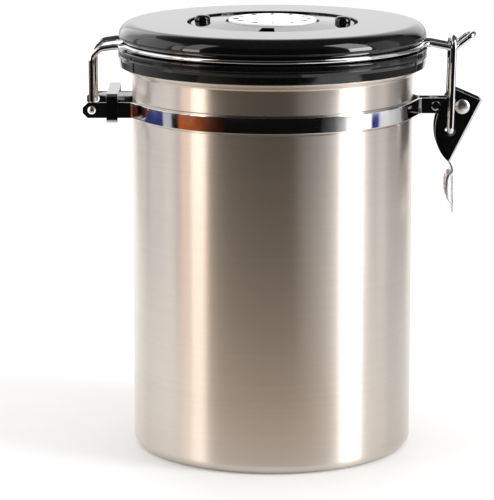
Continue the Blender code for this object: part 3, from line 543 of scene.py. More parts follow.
bandSize = {
    "thickness": 1.0,
    "lineRadius": 62.9,
    "hingeEarY": 17.5,
    "hingeEarEnd": 4.0,
    "hingeLeaves": 29.3,
    "hingeHole": 1.7,
    "latchEarY": 4.0,
    "latchEarEnd": 4.0,
    "latchLeaves": 21.3,
    "rivetSetback": 11.5,
    "rivetHole": 1.8,
    "pivotHole": 2.2,
    "bend": 2.0,
    "chamfer": 2.2,
    "edge": 0.28,
}


def strapPath(size):
    line = size["lineRadius"]
    hingeLeaves = math.asin(size["hingeLeaves"] / line)
    latchLeaves = math.asin(size["latchLeaves"] / line)

    def earCorner(angle, leaves, earY):
        return line * math.cos(angle) + (leaves - earY) * math.tan(angle)

    hingeX = -earCorner(hingeLeaves, size["hingeLeaves"], size["hingeEarY"])
    latchX = earCorner(latchLeaves, size["latchLeaves"], size["latchEarY"])
    hingeCorner = (hingeX, -size["hingeEarY"], pivot.z)
    latchCorner = (latchX, -size["latchEarY"], pivot.z)
    start, end = math.pi + hingeLeaves, 2 * math.pi - latchLeaves
    turns = fineTurn // 2
    ring = []
    for step in range(turns + 1):
        angle = start + (end - start) * step / turns
        ring.append(Vector((*polar(line, angle), pivot.z)))
    hingeEnd = (hinge.x - size["hingeEarEnd"], -size["hingeEarY"], pivot.z)
    latchEnd = (pivot.x + size["latchEarEnd"], -size["latchEarY"], pivot.z)
    head = rounded([hingeEnd, hingeCorner, ring[0]], [0, size["bend"], 0], steps=10)
    tail = rounded([ring[-1], latchCorner, latchEnd], [0, size["bend"], 0], steps=10)
    return head[:-1] + ring + tail[1:]


def makeBand(name, node, side, size):
    path = [Vector((point.x, point.y * side, point.z)) for point in strapPath(size)]
    bm = strip(path, Vector((0, 0, bandHeight / 2)), size["thickness"])
    ends = ((hinge.x - size["hingeEarEnd"], -1), (pivot.x + size["latchEarEnd"], 1))
    for endX, way in ends:
        for rise in (-1, 1):
            corner = (endX - way * size["chamfer"], 0, pivot.z + rise * bandHeight / 2)
            whole = bm.verts[:] + bm.edges[:] + bm.faces[:]
            sliced = bmesh.ops.bisect_plane(bm, geom=whole, plane_co=corner, plane_no=(way, 0, rise),
                                            clear_outer=True, dist=gap * unit)
            rim = [item for item in sliced["geom_cut"] if isinstance(item, bmesh.types.BMEdge)]
            bmesh.ops.holes_fill(bm, edges=rim)
    band = makePiece(name, bm, chrome)
    holes = ((hinge.x, size["hingeEarY"], size["hingeHole"]),
             (pivot.x - size["rivetSetback"], size["latchEarY"], size["rivetHole"]),
             (pivot.x, size["latchEarY"], size["pivotHole"]))
    reach = size["thickness"]
    for x, earY, radius in holes:
        carve(band, rod(radius, -reach, reach, "Y", (x, -side * earY, pivot.z)))
    softenEdges(band, size["edge"])
    dress(band, "canister", "polished_chrome", node)


clipSize = {
    "setback": 6.5,
    "width": 5.0,
    "thickness": 1.0,
    "rise": 3.4,
    "drop": 1.0,
    "hook": 2.4,
    "bend": 1.3,
    "hookBend": 1.3,
    "edge": 0.25,
}


def makeHingeClip(size):
    x = hinge.x + size["setback"] + size["width"] / 2
    sheet = size["thickness"]
    legY = bandSize["hingeEarY"] + bandSize["thickness"] / 2 + gap + sheet / 2
    topZ = pivot.z + bandHeight / 2 + size["rise"]
    tipZ = pivot.z - bandHeight / 2 - size["drop"] - sheet / 2
    tipY = legY - size["hook"]
    corners = [(x, -tipY, tipZ), (x, -legY, tipZ), (x, -legY, topZ),
               (x, legY, topZ), (x, legY, tipZ), (x, tipY, tipZ)]
    radii = [0, size["hookBend"], size["bend"], size["bend"], size["hookBend"], 0]
    path = rounded(corners, radii, steps=8)
    clip = makePiece("hingeClip", strip(path, Vector((size["width"] / 2, 0, 0)), sheet), platedSteel)
    softenEdges(clip, size["edge"])
    dress(clip, "canister", "polished_chrome", "hinge_clip")


# Half outlines of a rivet's head: share of its radius, share of its height
domedHead = [polar(1.0, math.radians(angle)) for angle in range(75, -1, -15)]
flatHead = [(0.8, 1.0), (0.93, 0.86), (1.0, 0.5), (1.0, 0.0)]
bandRivetSize = {"shank": 1.5, "headHeight": 0.5, "head": flatHead}
leverRivetSize = {"shank": 1.9, "headHeight": 1.15, "head": domedHead}


# Rivet through both ears, read from its node's box
def makeRivet(name, node, size, material):
    low, high = cad(node)
    centre = (low + high) / 2
    half = (high.y - low.y) / 2
    shank, headHeight = size["shank"], size["headHeight"]
    grip = half - headHeight
    head = (high.z - low.z) / 2
    near = [(head * wide, -grip - headHeight * tall) for wide, tall in size["head"]]
    far = [(radius, -height) for radius, height in reversed(near)]
    corners = [(0, -half)] + near + [(shank, -grip), (shank, grip)] + far + [(0, half)]
    rivet = makePiece(name, lathe(corners, smallTurn, "Y", centre), material)
    dress(rivet, "canister", "polished_chrome", node)


# Bail wire

bailSize = {
    "wire": 1.3,
    "ringRadius": 66.4,
    "armY": 15.2,
    "pinEnd": 18.8,
    "pinBend": 2.2,
    "kneeBend": 4.0,
    "kneeRun": 3.8,
    "kneeRise": 3.6,
    "armFall": 0.9,
    "sweep": 7.0,
    "noseY": 6.0,
    "noseSweep": 5.0,
    "noseBendX": 80.8,
    "noseFall": 2.0,
    "noseRise": 6.4,
    "noseBend": 4.0,
    "noseRound": 0.98,  # how much of noseY the rounded tip takes
}


# Arc in plan that leaves the groove's circle and ends along X, at the given distance off the axis
def tangentBend(offset, radius, ringRadius, steps=8):
    reach = ringRadius + radius
    centreX = math.sqrt(reach ** 2 - (offset + radius) ** 2)
    leaving = math.asin((offset + radius) / reach)
    points = []
    for step in range(steps + 1):
        angle = math.pi - leaving - (math.pi / 2 - leaving) * step / steps
        points.append((centreX + radius * math.cos(angle),
                       -offset - radius + radius * math.sin(angle)))
    return points, leaving


def bailHalf(size, wireZ):
    ringRadius = size["ringRadius"]
    kneeZ = wireZ - size["armFall"]
    hingeBend, hingeAngle = tangentBend(size["armY"], size["sweep"], ringRadius)
    armEnd = (-hingeBend[-1][0], -size["armY"], wireZ)
    corners = [(hinge.x, -size["pinEnd"], hinge.z), (hinge.x, -size["armY"], hinge.z),
               (hinge.x, -size["armY"], kneeZ - size["kneeRise"]),
               (hinge.x + size["kneeRun"], -size["armY"], kneeZ), armEnd]
    path = rounded(corners, [0, size["pinBend"], size["kneeBend"], size["kneeBend"], 0], steps=8)
    path += [Vector((-x, y, wireZ)) for x, y in reversed(hingeBend[:-1])]
    noseBend, noseAngle = tangentBend(size["noseY"], size["noseSweep"], ringRadius)
    start, end = math.pi + hingeAngle, 2 * math.pi - noseAngle
    turns = fineTurn // 2
    for step in range(1, turns):
        angle = start + (end - start) * step / turns
        path.append(Vector((*polar(ringRadius, angle), wireZ)))
    path += [Vector((x, y, wireZ)) for x, y in noseBend[:-1]]
    bendZ = wireZ - size["noseFall"]
    tipX = cad("bail_wire")[1].x - size["wire"]
    tipZ = bendZ + size["noseRise"]
    corners = [(*noseBend[-1], wireZ), (size["noseBendX"], -size["noseY"], bendZ),
               (tipX, -size["noseY"], tipZ), (tipX, 0, tipZ)]
    radii = [0, size["noseBend"], size["noseY"] * size["noseRound"], 0]
    return path + rounded(corners, radii, steps=10)


def makeBail(size):
    wireZ = grooveZ + gap + size["wire"]
    front = bailHalf(size, wireZ)
    back = [Vector((point.x, -point.y, point.z)) for point in reversed(front[:-1])]
    bail = makePiece("bailWire", tube(front + back, size["wire"]), chrome)
    dress(bail, "lid", "polished_chrome", "bail_wire")


# Latch

leverSize = {
    "width": 13.2,
    "sheet": 1.0,
    "depth": 21.0,
    "height": 32.5,
    "heelShare": 0.09,
    "openEnd": 4.0,
    "pivotHole": 2.2,
    "loopHole": 2.3,
    "fold": 1.3,
    "foldSteps": 6,
    "edge": 0.22,
}
# Corners of a cheek from the pivot: shares of its depth and height
cheekShares = {
    "topRight": (0.429, 0.074),
    "heel": (-0.233, -0.763),
    "toe": (-0.281, -0.763),
    "leftLow": (-0.714, -0.523),
    "leftHigh": (-0.643, -0.025),
    "topLeft": (-0.157, 0.237),
}
tabSize = {
    "length": 24.0,
    "width": 13.6,
    "sheet": 1.0,
    "curl": 2.9,
    "inset": 0.66,
    "columns": 14,
    "steepness": 6,
    "smoothing": 2,
}
# Each row down the tab: drop, width, curl and step outwards
tabRowShares = (
    (-0.06, 0.9, 0.0, -0.6), (0.0, 0.9, 0.0, 0.0), (0.05, 0.9, 0.0, 0.7), (0.1, 0.9, 0.0, 1.35),
    (0.15, 0.9, 0.0, 1.65), (0.205, 0.9, 0.0, 1.73), (0.235, 0.92, 0.45, 1.75), (0.3, 0.97, 0.9, 1.77),
    (0.4, 1.0, 1.0, 1.8), (0.5, 1.0, 1.03, 1.83), (0.6, 1.0, 1.0, 1.86), (0.7, 0.97, 0.9, 1.9),
    (0.765, 0.92, 0.45, 1.93), (0.8, 0.9, 0.0, 1.95), (0.9, 0.78, 0.0, 1.98), (1.0, 0.5, 0.0, 2.0),
)


def cheekPlace(size, name):
    x, z = cheekShares[name]
    return Vector((pivot.x + size["depth"] * x, pivot.z + size["height"] * z))


def makeLeverChannel(size):
    top, heel = cheekPlace(size, "topRight"), cheekPlace(size, "heel")
    names = ("toe", "leftLow", "leftHigh", "topLeft")
    left = bezier(*[cheekPlace(size, name) for name in names], steps=20)
    half = size["width"] / 2
    bm = prism([top, heel] + left, -half, half)
    along = (heel - top).normalized()
    folds = []
    for edge in bm.edges:
        first, last = edge.verts
        offs = [abs((Vector((end.co.x, end.co.z)) - top).cross(along)) for end in (first, last)]
        if first.co.y == last.co.y and max(offs) < almostOn:
            folds.append(edge)
    bmesh.ops.bevel(bm, geom=folds, offset=size["fold"], segments=size["foldSteps"], profile=0.5,
                    affect="EDGES")
    lever = makePiece("latchLever", bm, platedSteel)
    inward = Vector((along.y, -along.x)) * size["sheet"]
    above = top + inward - along * size["openEnd"]
    below = heel + inward - along * size["height"] * size["heelShare"]
    farX = pivot.x - size["depth"]
    highZ = pivot.z + size["height"] / 2
    hollow = [(above.x, highZ), above, below, (farX, below.y), (farX, highZ)]
    inner = half - size["sheet"]
    carve(lever, prism(hollow, -inner, inner), "MANIFOLD")
    carve(lever, rod(size["pivotHole"], -2 * half, 2 * half, "Y", pivot), "MANIFOLD")
    carve(lever, rod(size["loopHole"], -2 * half, 2 * half, "Y", loopPin), "MANIFOLD")
    softenEdges(lever, size["edge"])
    dress(lever, "lever", "polished_chrome", "latch_lever")


# Thumb tab: a sheet whose sides curl towards the vessel
def makeThumbTab(size):
    heel = cheekPlace(leverSize, "heel")
    topX = heel.x - size["inset"]
    columns = size["columns"]
    bm = bmesh.new()
    sheets = []
    for face in (-0.5, 0.5):
        sheet = []
        for drop, width, curl, outward in tabRowShares:
            row = []
            for column in range(columns + 1):
                across = math.sin(math.pi / 2 * (2 * column / columns - 1))
                bend = size["curl"] * curl * across ** size["steepness"]
                x = topX + size["sheet"] * (outward + face) - bend
                y = across * width * size["width"] / 2
                row.append(bm.verts.new((x, y, heel.y - size["length"] * drop)))
            sheet.append(row)
        sheets.append(sheet)
    inner, outer = sheets
    last = len(tabRowShares) - 1
    for sheet in sheets:
        for row in range(last):
            for column in range(columns):
                bm.faces.new((sheet[row][column], sheet[row][column + 1],
                              sheet[row + 1][column + 1], sheet[row + 1][column]))
    for row in range(last):
        for column in (0, columns):
            bm.faces.new((inner[row][column], outer[row][column],
                          outer[row + 1][column], inner[row + 1][column]))
    for row in (0, last):
        for column in range(columns):
            bm.faces.new((inner[row][column], outer[row][column],
                          outer[row][column + 1], inner[row][column + 1]))
    tab = makePiece("thumbTab", bm, satinSteel)
    smooth = tab.modifiers.new("smooth", "SUBSURF")
    smooth.levels = smooth.render_levels = size["smoothing"]
    settle(tab)
    dress(tab, "lever", "polished_chrome")


loopSize = {
    "wire": 1.4,
    "legY": 9.75,
    "endY": 5.3,
    "lean": 1.0,
    "length": 41.8,
    "pinBend": 2.2,
    "topBend": 4.5,
}


def makeLatchLoop(size):
    legY, endY = size["legY"], size["endY"]
    topX, topZ = loopPin.x + size["lean"], loopPin.z + size["length"]
    corners = [(loopPin.x, -endY, loopPin.z), (loopPin.x, -legY, loopPin.z), (topX, -legY, topZ),
               (topX, legY, topZ), (loopPin.x, legY, loopPin.z), (loopPin.x, endY, loopPin.z)]
    radii = [0, size["pinBend"], size["topBend"], size["topBend"], size["pinBend"], 0]
    loop = makePiece("latchLoop", tube(rounded(corners, radii, steps=10), size["wire"]), chrome)
    dress(loop, "loop", "polished_chrome", "latch_loop")


# Lid

lidSize = {
    "flangeZ": 175.6,
    "flangeHeight": 4.6,
    "flangeCorner": 0.6,
    "skirtWall": 1.9,
    "skirtDrop": 3.4,
    "skirtLean": 1.2,  # how far the foot of the skirt stands in, in shares of its rounding
    "groove": 4.0,
    "capSetback": 0.4,
    "capTuck": 1.6,
    "capEdgeWidth": 6.2,
    "capEdgeHeight": 5.8,
    "capFoot": (0.6, 0.4),
    "wall": 2.0,
    "plugRadius": 58.5,
    "plugEdge": 1.5,
    "plugFloor": 3.0,
    "socketRadius": 19.7,
    "socketRoof": 172.1,
    "ventRadius": 2.0,
    "ridgeShare": 0.6,
    "ridgeFoot": 0.25,
    "ridgeCrest": 0.15,
    "softEdge": 0.3,
    "dialRadius": 37.8,
    "dialDepth": 3.0,
    "dialFloor": 1.8,
    "dialEdge": 0.45,
    "dialCorner": 0.4,
    "hub": 3.9,
    "hubEdge": 0.2,
}
lidTop = cad("lid_shell")[1].z
flangeRadius = cad("lid_base")[1].x
plugZ = cad("lid_base")[0].z
grooveZ = lidSize["flangeZ"] + lidSize["flangeHeight"]
capZ = grooveZ + 2 * (bailSize["wire"] + gap)
grooveRadius = flangeRadius - lidSize["groove"]
capRadius = flangeRadius - lidSize["capSetback"]
dialFloorZ = lidTop - lidSize["dialDepth"]
ovalHandle = 0.45  # gives a quarter of an oval from one Bezier curve


def makeLidShell(size):
    lip = grooveRadius + gap
    tuck = size["capTuck"]
    roofZ = lidTop - size["wall"]
    under = dialFloorZ - size["dialFloor"]
    recess, wall = size["dialRadius"], size["wall"]
    bore = size["hub"] + gap
    wide, tall = size["capEdgeWidth"], size["capEdgeHeight"]
    footEdge, footCorner = size["capFoot"]
    corners = [(bore, under), (bore, dialFloorZ, size["hubEdge"]),
               (recess, dialFloorZ, size["dialCorner"]), (recess, lidTop, size["dialEdge"])]
    corners += bezier((capRadius - wide, lidTop), (capRadius - wide * ovalHandle, lidTop),
                      (capRadius, lidTop - tall * ovalHandle), (capRadius, lidTop - tall), steps=24)
    corners += [(capRadius, capZ + tuck, footEdge), (capRadius - tuck, capZ, footCorner),
                (lip, capZ), (lip, roofZ), (recess + wall, roofZ), (recess + wall, under)]
    shell = makePiece("lidShell", lathe(outline(corners, steps=8)), glossBlack)
    dress(shell, "lid", "gloss_black", "lid_shell")


screwSize = {
    "count": 4,
    "circle": 48.0,
    "shank": 1.3,
    "head": 2.8,
    "headHeight": 1.2,
    "headRound": 0.4,
    "headEdge": 0.1,
    "tipRound": 0.3,
    "hole": 3.1,
    "crossLength": 3.4,
    "crossWidth": 0.7,
    "crossDepth": 0.7,
}


def screwPlaces():
    places = []
    for index in range(screwSize["count"]):
        angle = math.pi / screwSize["count"] + 2 * math.pi * index / screwSize["count"]
        places.append((*polar(screwSize["circle"], angle), 0))
    return places


def makeLidBase(size):
    flangeZ = size["flangeZ"]
    skirtInside = flangeRadius - size["skirtWall"]
    skirtZ = flangeZ - size["skirtDrop"]
    riseZ = cad("lid_base")[1].z
    floorZ = plugZ + size["plugFloor"]
    roundOver = size["skirtWall"] / 3
    ridgeZ = grooveZ - size["flangeHeight"] * size["ridgeShare"]
    ridge, foot, edge = size["capSetback"], size["ridgeFoot"], size["softEdge"]
    socket, plug, wall = size["socketRadius"], size["plugRadius"], size["wall"]
    vent, roofZ = size["ventRadius"], size["socketRoof"]
    corners = [(vent, roofZ), (socket, roofZ), (socket, plugZ, edge),
               (plug, plugZ, size["plugEdge"]), (plug, flangeZ), (skirtInside, flangeZ),
               (skirtInside, skirtZ, foot),
               (flangeRadius - size["skirtLean"] * roundOver, skirtZ, edge),
               (flangeRadius - roundOver / 2, flangeZ, size["flangeCorner"]),
               (flangeRadius, ridgeZ - ridge, foot),
               (flangeRadius - ridge, ridgeZ, size["ridgeCrest"]),
               (flangeRadius, ridgeZ + ridge, foot), (flangeRadius, grooveZ, roundOver),
               (grooveRadius, grooveZ, edge), (grooveRadius, riseZ),
               (grooveRadius - wall, riseZ), (grooveRadius - wall, flangeZ + wall),
               (plug - wall, flangeZ + wall), (plug - wall, floorZ), (socket + wall, floorZ),
               (socket + wall, roofZ + wall), (vent, roofZ + wall)]
    base = makePiece("lidBase", lathe(outline(corners, steps=5)), glossBlack)
    sinkZ = plugZ + screwSize["headHeight"] + gap
    for place in screwPlaces():
        carve(base, rod(screwSize["hole"], plugZ - overcut, sinkZ, "Z", place))
    dress(base, "lid", "gloss_black", "lid_base")


# Cross-head screws, each in its own sunk hole
def makeScrews(size):
    for index, (x, y, _) in enumerate(screwPlaces()):
        node = f"lid_screw_{index + 1}"
        low, high = cad(node)
        headTop = low.z + size["headHeight"]
        head, shank = size["head"], size["shank"]
        corners = [(0, low.z), (head, low.z, size["headRound"]), (head, headTop, size["headEdge"]),
                   (shank, headTop), (shank, high.z, size["tipRound"]), (0, high.z)]
        turned = lathe(outline(corners), smallTurn, "Z", (x, y, 0))
        screw = makePiece(f"lidScrew{index + 1}", turned, screwSteel)
        long, wide = size["crossLength"] / 2, size["crossWidth"] / 2
        floorZ, openZ = low.z + size["crossDepth"], low.z - overcut
        for across, deep in ((long, wide), (wide, long)):
            left, right = x - across, x + across
            sides = [(left, openZ), (right, openZ), (right, floorZ), (left, floorZ)]
            carve(screw, prism(sides, y - deep, y + deep))
        dress(screw, "lid", "screw_steel", node)


gasketSize = {
    "wall": 1.5,
    "waist": 0.4,
    "waistHeight": 1.4,
    "waistEnd": 2.4,
    "softEdge": 0.3,
    "footRound": 0.6,
    "lipCorner": 0.4,
    "lipRound": 0.5,
}


def makeGasket(size):
    low, high = cad("lid_gasket")
    inside = lidSize["plugRadius"] + gap
    lipZ = bodyTop + gap
    lip = inside + size["wall"]
    edge = size["softEdge"]
    corners = [(inside, low.z, edge), (lip, low.z, size["footRound"]),
               (lip - size["waist"], low.z + size["waistHeight"], edge),
               (lip, low.z + size["waistEnd"], edge), (lip, lipZ, size["lipCorner"]),
               (high.x, lipZ, size["lipRound"]), (high.x, high.z, edge), (inside, high.z, edge)]
    gasket = makePiece("lidGasket", lathe(outline(corners)), silicone)
    dress(gasket, "lid", "silicone", "lid_gasket")


# Date dial

dialSize = {
    "cardWidth": 13.2,
    "cardEdge": 0.1,
    "hub": 3.9,
    "hubHole": 1.6,
    "hubEdge": 0.2,
    "discThickness": 1.9,
    "discSkin": 1.3,
    "discRound": 0.6,
    "ringEdge": 1.2,
    "ringFoot": 0.15,
    "ringShoulder": 0.45,
    "ringCrest": 0.35,
    "seatClearance": 1.1,
    "seatDepth": 1.3,
    "windowInset": 2.1,
    "windowLength": 9.4,
    "windowHalfAngle": 6.1,
    "windowCorner": 0.8,
    "windowSteps": 2,
    "restAngle": -5.0,
    "knobHeight": 2.4,
    "knobStem": 1.4,
    "dayCount": 31,
    "dayHeight": 4.2,
    "monthCount": 12,
    "monthHeight": 3.8,
    "monthInset": 3.2,
    "inkDepth": 0.08,
    "inkSpread": 0.15,
}


# Plain numbers in a circle, their feet outwards, as one piece
def makeNumbers(name, count, radius, height, z, startAngle, ink, body):
    bm = bmesh.new()
    middleZ = z + dialSize["inkDepth"] / 2
    for index in range(count):
        text = bpy.data.curves.new("digits", "FONT")
        text.body = str(index + 1)
        text.size = height * unit
        text.align_x = "CENTER"
        text.align_y = "CENTER"
        text.extrude = dialSize["inkDepth"] / 2 * unit
        text.offset = dialSize["inkSpread"] * unit
        holder = addObject("digits", text)
        view = bpy.context.evaluated_depsgraph_get()
        mesh = bpy.data.meshes.new_from_object(holder.evaluated_get(view))
        angle = startAngle + 2 * math.pi * index / count
        place = Vector((*polar(radius, angle), middleZ)) * unit
        mesh.transform(Matrix.Translation(place) @ Matrix.Rotation(angle + math.pi / 2, 4, "Z"))
        bm.from_mesh(mesh)
        bpy.data.objects.remove(holder)
        bpy.data.meshes.remove(mesh)
    mesh = bpy.data.meshes.new(name)
    bm.to_mesh(mesh)
    bm.free()
    mesh.materials.append(ink)
    numbers = addObject(name, mesh)
    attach(numbers, body)


def makeDateCard(size):
    low, high = cad("date_card")
    inside = high.x - size["cardWidth"]
    edge = size["cardEdge"]
    corners = [(inside, low.z), (high.x, low.z), (high.x, high.z, edge), (inside, high.z, edge)]
    card = makePiece("dateCard", lathe(outline(corners)), mattBlack)
    dress(card, "lid", "matt_black", "date_card")
    ring = cad("date_ring")[1].x
    middle = ring - size["windowInset"] - size["windowLength"] / 2
    start = math.radians(size["restAngle"] - 90)
    makeNumbers("dayNumbers", size["dayCount"], middle, size["dayHeight"], high.z, start,
                whiteInk, "lid")


def makeDateRing(size):
    low, high = cad("date_ring")
    bore = size["hub"] + gap
    edgeZ = low.z + size["ringEdge"]
    seat = cad("month_dial")[1].x + size["seatClearance"]
    seatZ = high.z - size["seatDepth"]
    corners = [(bore, low.z), (high.x, low.z, size["ringFoot"]), (high.x, edgeZ, size["ringShoulder"]),
               (seat, high.z, size["ringCrest"]), (seat, seatZ, size["hubEdge"]), (bore, seatZ)]
    ring = makePiece("dateRing", lathe(outline(corners, steps=6)), glossBlack)
    outer = high.x - size["windowInset"]
    inner = outer - size["windowLength"]
    middle = math.radians(size["restAngle"] - 90)
    half = math.radians(size["windowHalfAngle"])
    corners = []
    steps = size["windowSteps"]
    for radius, way in ((inner, 1), (outer, -1)):
        for step in range(-steps, steps + 1):
            angle = middle + way * half * step / steps
            rounding = size["windowCorner"] if abs(step) == steps else 0
            corners.append((*polar(radius, angle), rounding))
    window = [(x, y, low.z - overcut) for x, y in outline(corners)]
    carve(ring, drawOut(window, (0, 0, high.z - low.z + 2 * overcut)))
    dress(ring, "date_ring", "gloss_black", "date_ring")


# Half outline of a knob: share of its radius, share of its height; its foot sits in the ring
knobShares = (
    (1.0, -0.3), (1.0, 0.3), (0.97, 0.5), (0.87, 0.72),
    (0.68, 0.88), (0.42, 0.97), (0.2, 1.0), (0.0, 1.0),
)


def makeKnob(name, node, size):
    low, high = cad(node)
    centre = (low + high) / 2
    radius = (high.x - low.x) / 2
    foot, stem = high.z - size["knobHeight"], size["knobStem"]
    corners = [(0, low.z), (stem, low.z)]
    corners += [(stem, foot + size["knobHeight"] * knobShares[0][1])]
    corners += [(radius * wide, foot + size["knobHeight"] * tall) for wide, tall in knobShares]
    knob = makePiece(name, lathe(corners, smallTurn, "Z", (centre.x, centre.y, 0)), glossBlack)
    dress(knob, "date_ring", "gloss_black", node)


def makeMonthDial(size):
    low, high = cad("month_dial")
    radius = high.x
    discZ = high.z - size["discThickness"]
    skinZ = high.z - size["discSkin"]
    hub, hole, edge = size["hub"], size["hubHole"], size["hubEdge"]
    corners = [(hole, low.z), (hub, low.z, edge), (hub, discZ), (radius, discZ, edge),
               (radius, high.z, size["discRound"]), (0, high.z), (0, skinZ), (hole, skinZ)]
    dial = makePiece("monthDial", lathe(outline(corners, steps=6)), dialWhite)
    dress(dial, "month_dial", "dial_white", "month_dial")
    circle = radius - size["monthInset"]
    makeNumbers("monthNumbers", size["monthCount"], circle, size["monthHeight"], high.z, -math.pi / 2,
                blackInk, "month_dial")


# Valve under the lid

valveSize = {
    "hole": 2.0,
    "skirt": 1.6,
    "hub": 7.5,
    "shoulder": 12.0,
    "crown": 6.75,
    "holeRound": (0.3, 0.5),
    "skirtRound": (0.4, 0.5),
    "shoulderRound": (1.5, 0.4),
    "crownRound": 0.6,
}


def makeValve(size):
    low, high = cad("one_way_valve")
    stepZ = high.z - (high.z - low.z) / 3
    holeFoot, holeTop = size["holeRound"]
    skirtFoot, skirtTop = size["skirtRound"]
    shoulderRound, hubRound = size["shoulderRound"]
    corners = [(size["hole"], low.z, holeFoot), (high.x, low.z, skirtFoot),
               (high.x, low.z + size["skirt"], skirtTop), (size["shoulder"], stepZ, shoulderRound),
               (size["hub"], stepZ, hubRound), (size["crown"], high.z, size["crownRound"]),
               (size["hole"], high.z, holeTop)]
    valve = makePiece("oneWayValve", lathe(outline(corners, steps=5), fineTurn // 2), silicone)
    dress(valve, "lid", "silicone", "one_way_valve")


coverSize = {
    "flange": 4.3,
    "thickness": 2.0,
    "wall": 1.4,
    "rimRound": 1.0,
    "rimEdge": 0.2,
    "collarEdge": 0.3,
    "slotCount": 6,
    "slotWidth": 2.4,
    "slotReach": (0.35, 0.85),
    "slotEdge": 0.2,
    "slotEdgeAngle": 50,
}


def makeValveCover(size):
    low, high = cad("valve_cover")
    top = low.z + size["thickness"]
    collar = high.x - size["flange"] - gap
    inside = collar - size["wall"]
    edge = size["collarEdge"]
    corners = [(0, low.z), (high.x, low.z, size["rimRound"]), (high.x, top, size["rimEdge"]),
               (collar, top), (collar, high.z, edge), (inside, high.z, edge), (inside, top), (0, top)]
    cover = makePiece("valveCover", lathe(outline(corners, steps=6), fineTurn // 2), mattBlack)
    near, far = (share * inside for share in size["slotReach"])
    half = size["slotWidth"] / 2
    under, over = low.z - 2 * overcut, top + 2 * overcut
    for index in range(size["slotCount"]):
        slot = prism([(near, under), (far, under), (far, over), (near, over)], -half, half)
        turn = Matrix.Rotation(2 * math.pi * index / size["slotCount"], 3, "Z")
        bmesh.ops.rotate(slot, verts=slot.verts, matrix=turn)
        carve(cover, slot)
    softenEdges(cover, size["slotEdge"], 2, size["slotEdgeAngle"])
    dress(cover, "lid", "matt_black", "valve_cover")


makeBody(bodySize)
print("vessel made")
makeBand("bandFront", "band_front", 1, bandSize)
makeBand("bandBack", "band_back", -1, bandSize)
makeHingeClip(clipSize)
makeRivet("bandRivet", "band_rivet", bandRivetSize, chrome)
makeRivet("leverPivotRivet", "lever_pivot_rivet", leverRivetSize, satinSteel)
print("band made")
makeBail(bailSize)
makeLeverChannel(leverSize)
makeThumbTab(tabSize)
makeLatchLoop(loopSize)
print("latch made")
makeLidShell(lidSize)
makeLidBase(lidSize)
makeScrews(screwSize)
makeGasket(gasketSize)
print("lid made")
makeDateCard(dialSize)
makeDateRing(dialSize)
makeKnob("dateKnobLeft", "date_knob_left", dialSize)
makeKnob("dateKnobRight", "date_knob_right", dialSize)
makeMonthDial(dialSize)
print("dial made")
makeValve(valveSize)
makeValveCover(coverSize)
for node in ("band_spacer", "pivot_spacer", "dial_washer", "dial_screw"):
    frame["nodes"][node].data.materials.clear()
    frame["nodes"][node].data.materials.append(screwSteel)
print("valve and small parts made")


# Studio

# The near part of the floor shows in reflections; the outer part only widens it
floorSize = {
    "near": (-430, -80, 480, 2600),
    "beside": (120, -420, 480, -80),
    "outer": (-2500, -2500, 2500, 3200),
    # The paper's grey at the canister is darker than its own grey further out: a painted contact
    # shadow that fades out with distance
    "paintedShadowGrey": 0.7,
    "farGrey": 0.93,
    "shadowFadeFrom": 250,
    "shadowFadeBy": 1100,
    "glow": 0.1,
    "roughness": (0.55, 0.7),
    "waves": 0.05,
    "detail": 3.0,
}


def makeFloor(size):
    low, high = size["roughness"]
    paper = newMaterial("floorPaper", size["paintedShadowGrey"], (low + high) / 2)
    shader = surface(paper)
    shader.inputs["Emission Color"].default_value = tone(1.0)
    shader.inputs["Emission Strength"].default_value = size["glow"]
    varyRoughness(paper, grain(paper, [size["waves"]] * 3, size["detail"]), low, high)
    nodes, links = paper.node_tree.nodes, paper.node_tree.links
    place = nodes.new("ShaderNodeTexCoord")
    away = nodes.new("ShaderNodeVectorMath")
    away.operation = "LENGTH"
    links.new(place.outputs["Object"], away.inputs["Vector"])
    start, end = size["shadowFadeFrom"] * unit, size["shadowFadeBy"] * unit
    # Painted contact shadow: the paper is greyer close to the canister and pales to its own grey
    # further out
    greys = ranged(paper, away.outputs["Value"], size["paintedShadowGrey"], size["farGrey"], start, end)
    links.new(greys, shader.inputs["Base Color"])
    left, front, right, back = size["near"]
    farLeft, farFront, farRight, farBack = size["outer"]
    besideLeft, besideFront, besideRight = size["beside"][:3]
    near = [size["near"], size["beside"]]
    outer = [(farLeft, farFront, farRight, besideFront), (farLeft, besideFront, besideLeft, front),
             (besideRight, besideFront, farRight, front), (farLeft, front, left, farBack),
             (right, front, farRight, farBack), (left, back, right, farBack)]
    for name, panels, shines in (("floorNear", near, True), ("floorOuter", outer, False)):
        bm = bmesh.new()
        for west, south, east, north in panels:
            corners = ((west, south, 0), (east, south, 0), (east, north, 0), (west, north, 0))
            bm.faces.new([bm.verts.new(corner) for corner in corners])
        floor = makePiece(name, bm, paper)
        floor.visible_glossy = shines


# Light panels: azimuth, elevation, distance, width, height and brightness, then the colour
# of those that aren't white. Azimuth 0 is behind the camera and grows to the right.
lightPanels = {
    "rightKey": (66, 9, 1200, 400, 410, 12.0),
    "rightKeyTop": (66, 36, 1200, 400, 880, 4.5),
    "rightFill": (92, 17, 1200, 560, 1030, 0.5),
    "leftKey": (-61, 4, 1200, 290, 280, 6.4, (1.0, 0.92, 0.84)),
    "leftKeyTop": (-61, 32, 1200, 290, 880, 2.2, (1.0, 0.92, 0.84)),
    "leftWarmStrip": (-74, 14, 1200, 170, 700, 2.3, (1.0, 0.8, 0.68)),
    "leftFill": (-100, 20, 1200, 800, 960, 1.0),
    "leftBackFill": (-141, 20, 1200, 800, 960, 0.8),
    "backPanel": (180, 22, 1500, 2400, 900, 0.5),
}
panelAim = Vector((0, 0, 120))  # the point that they face


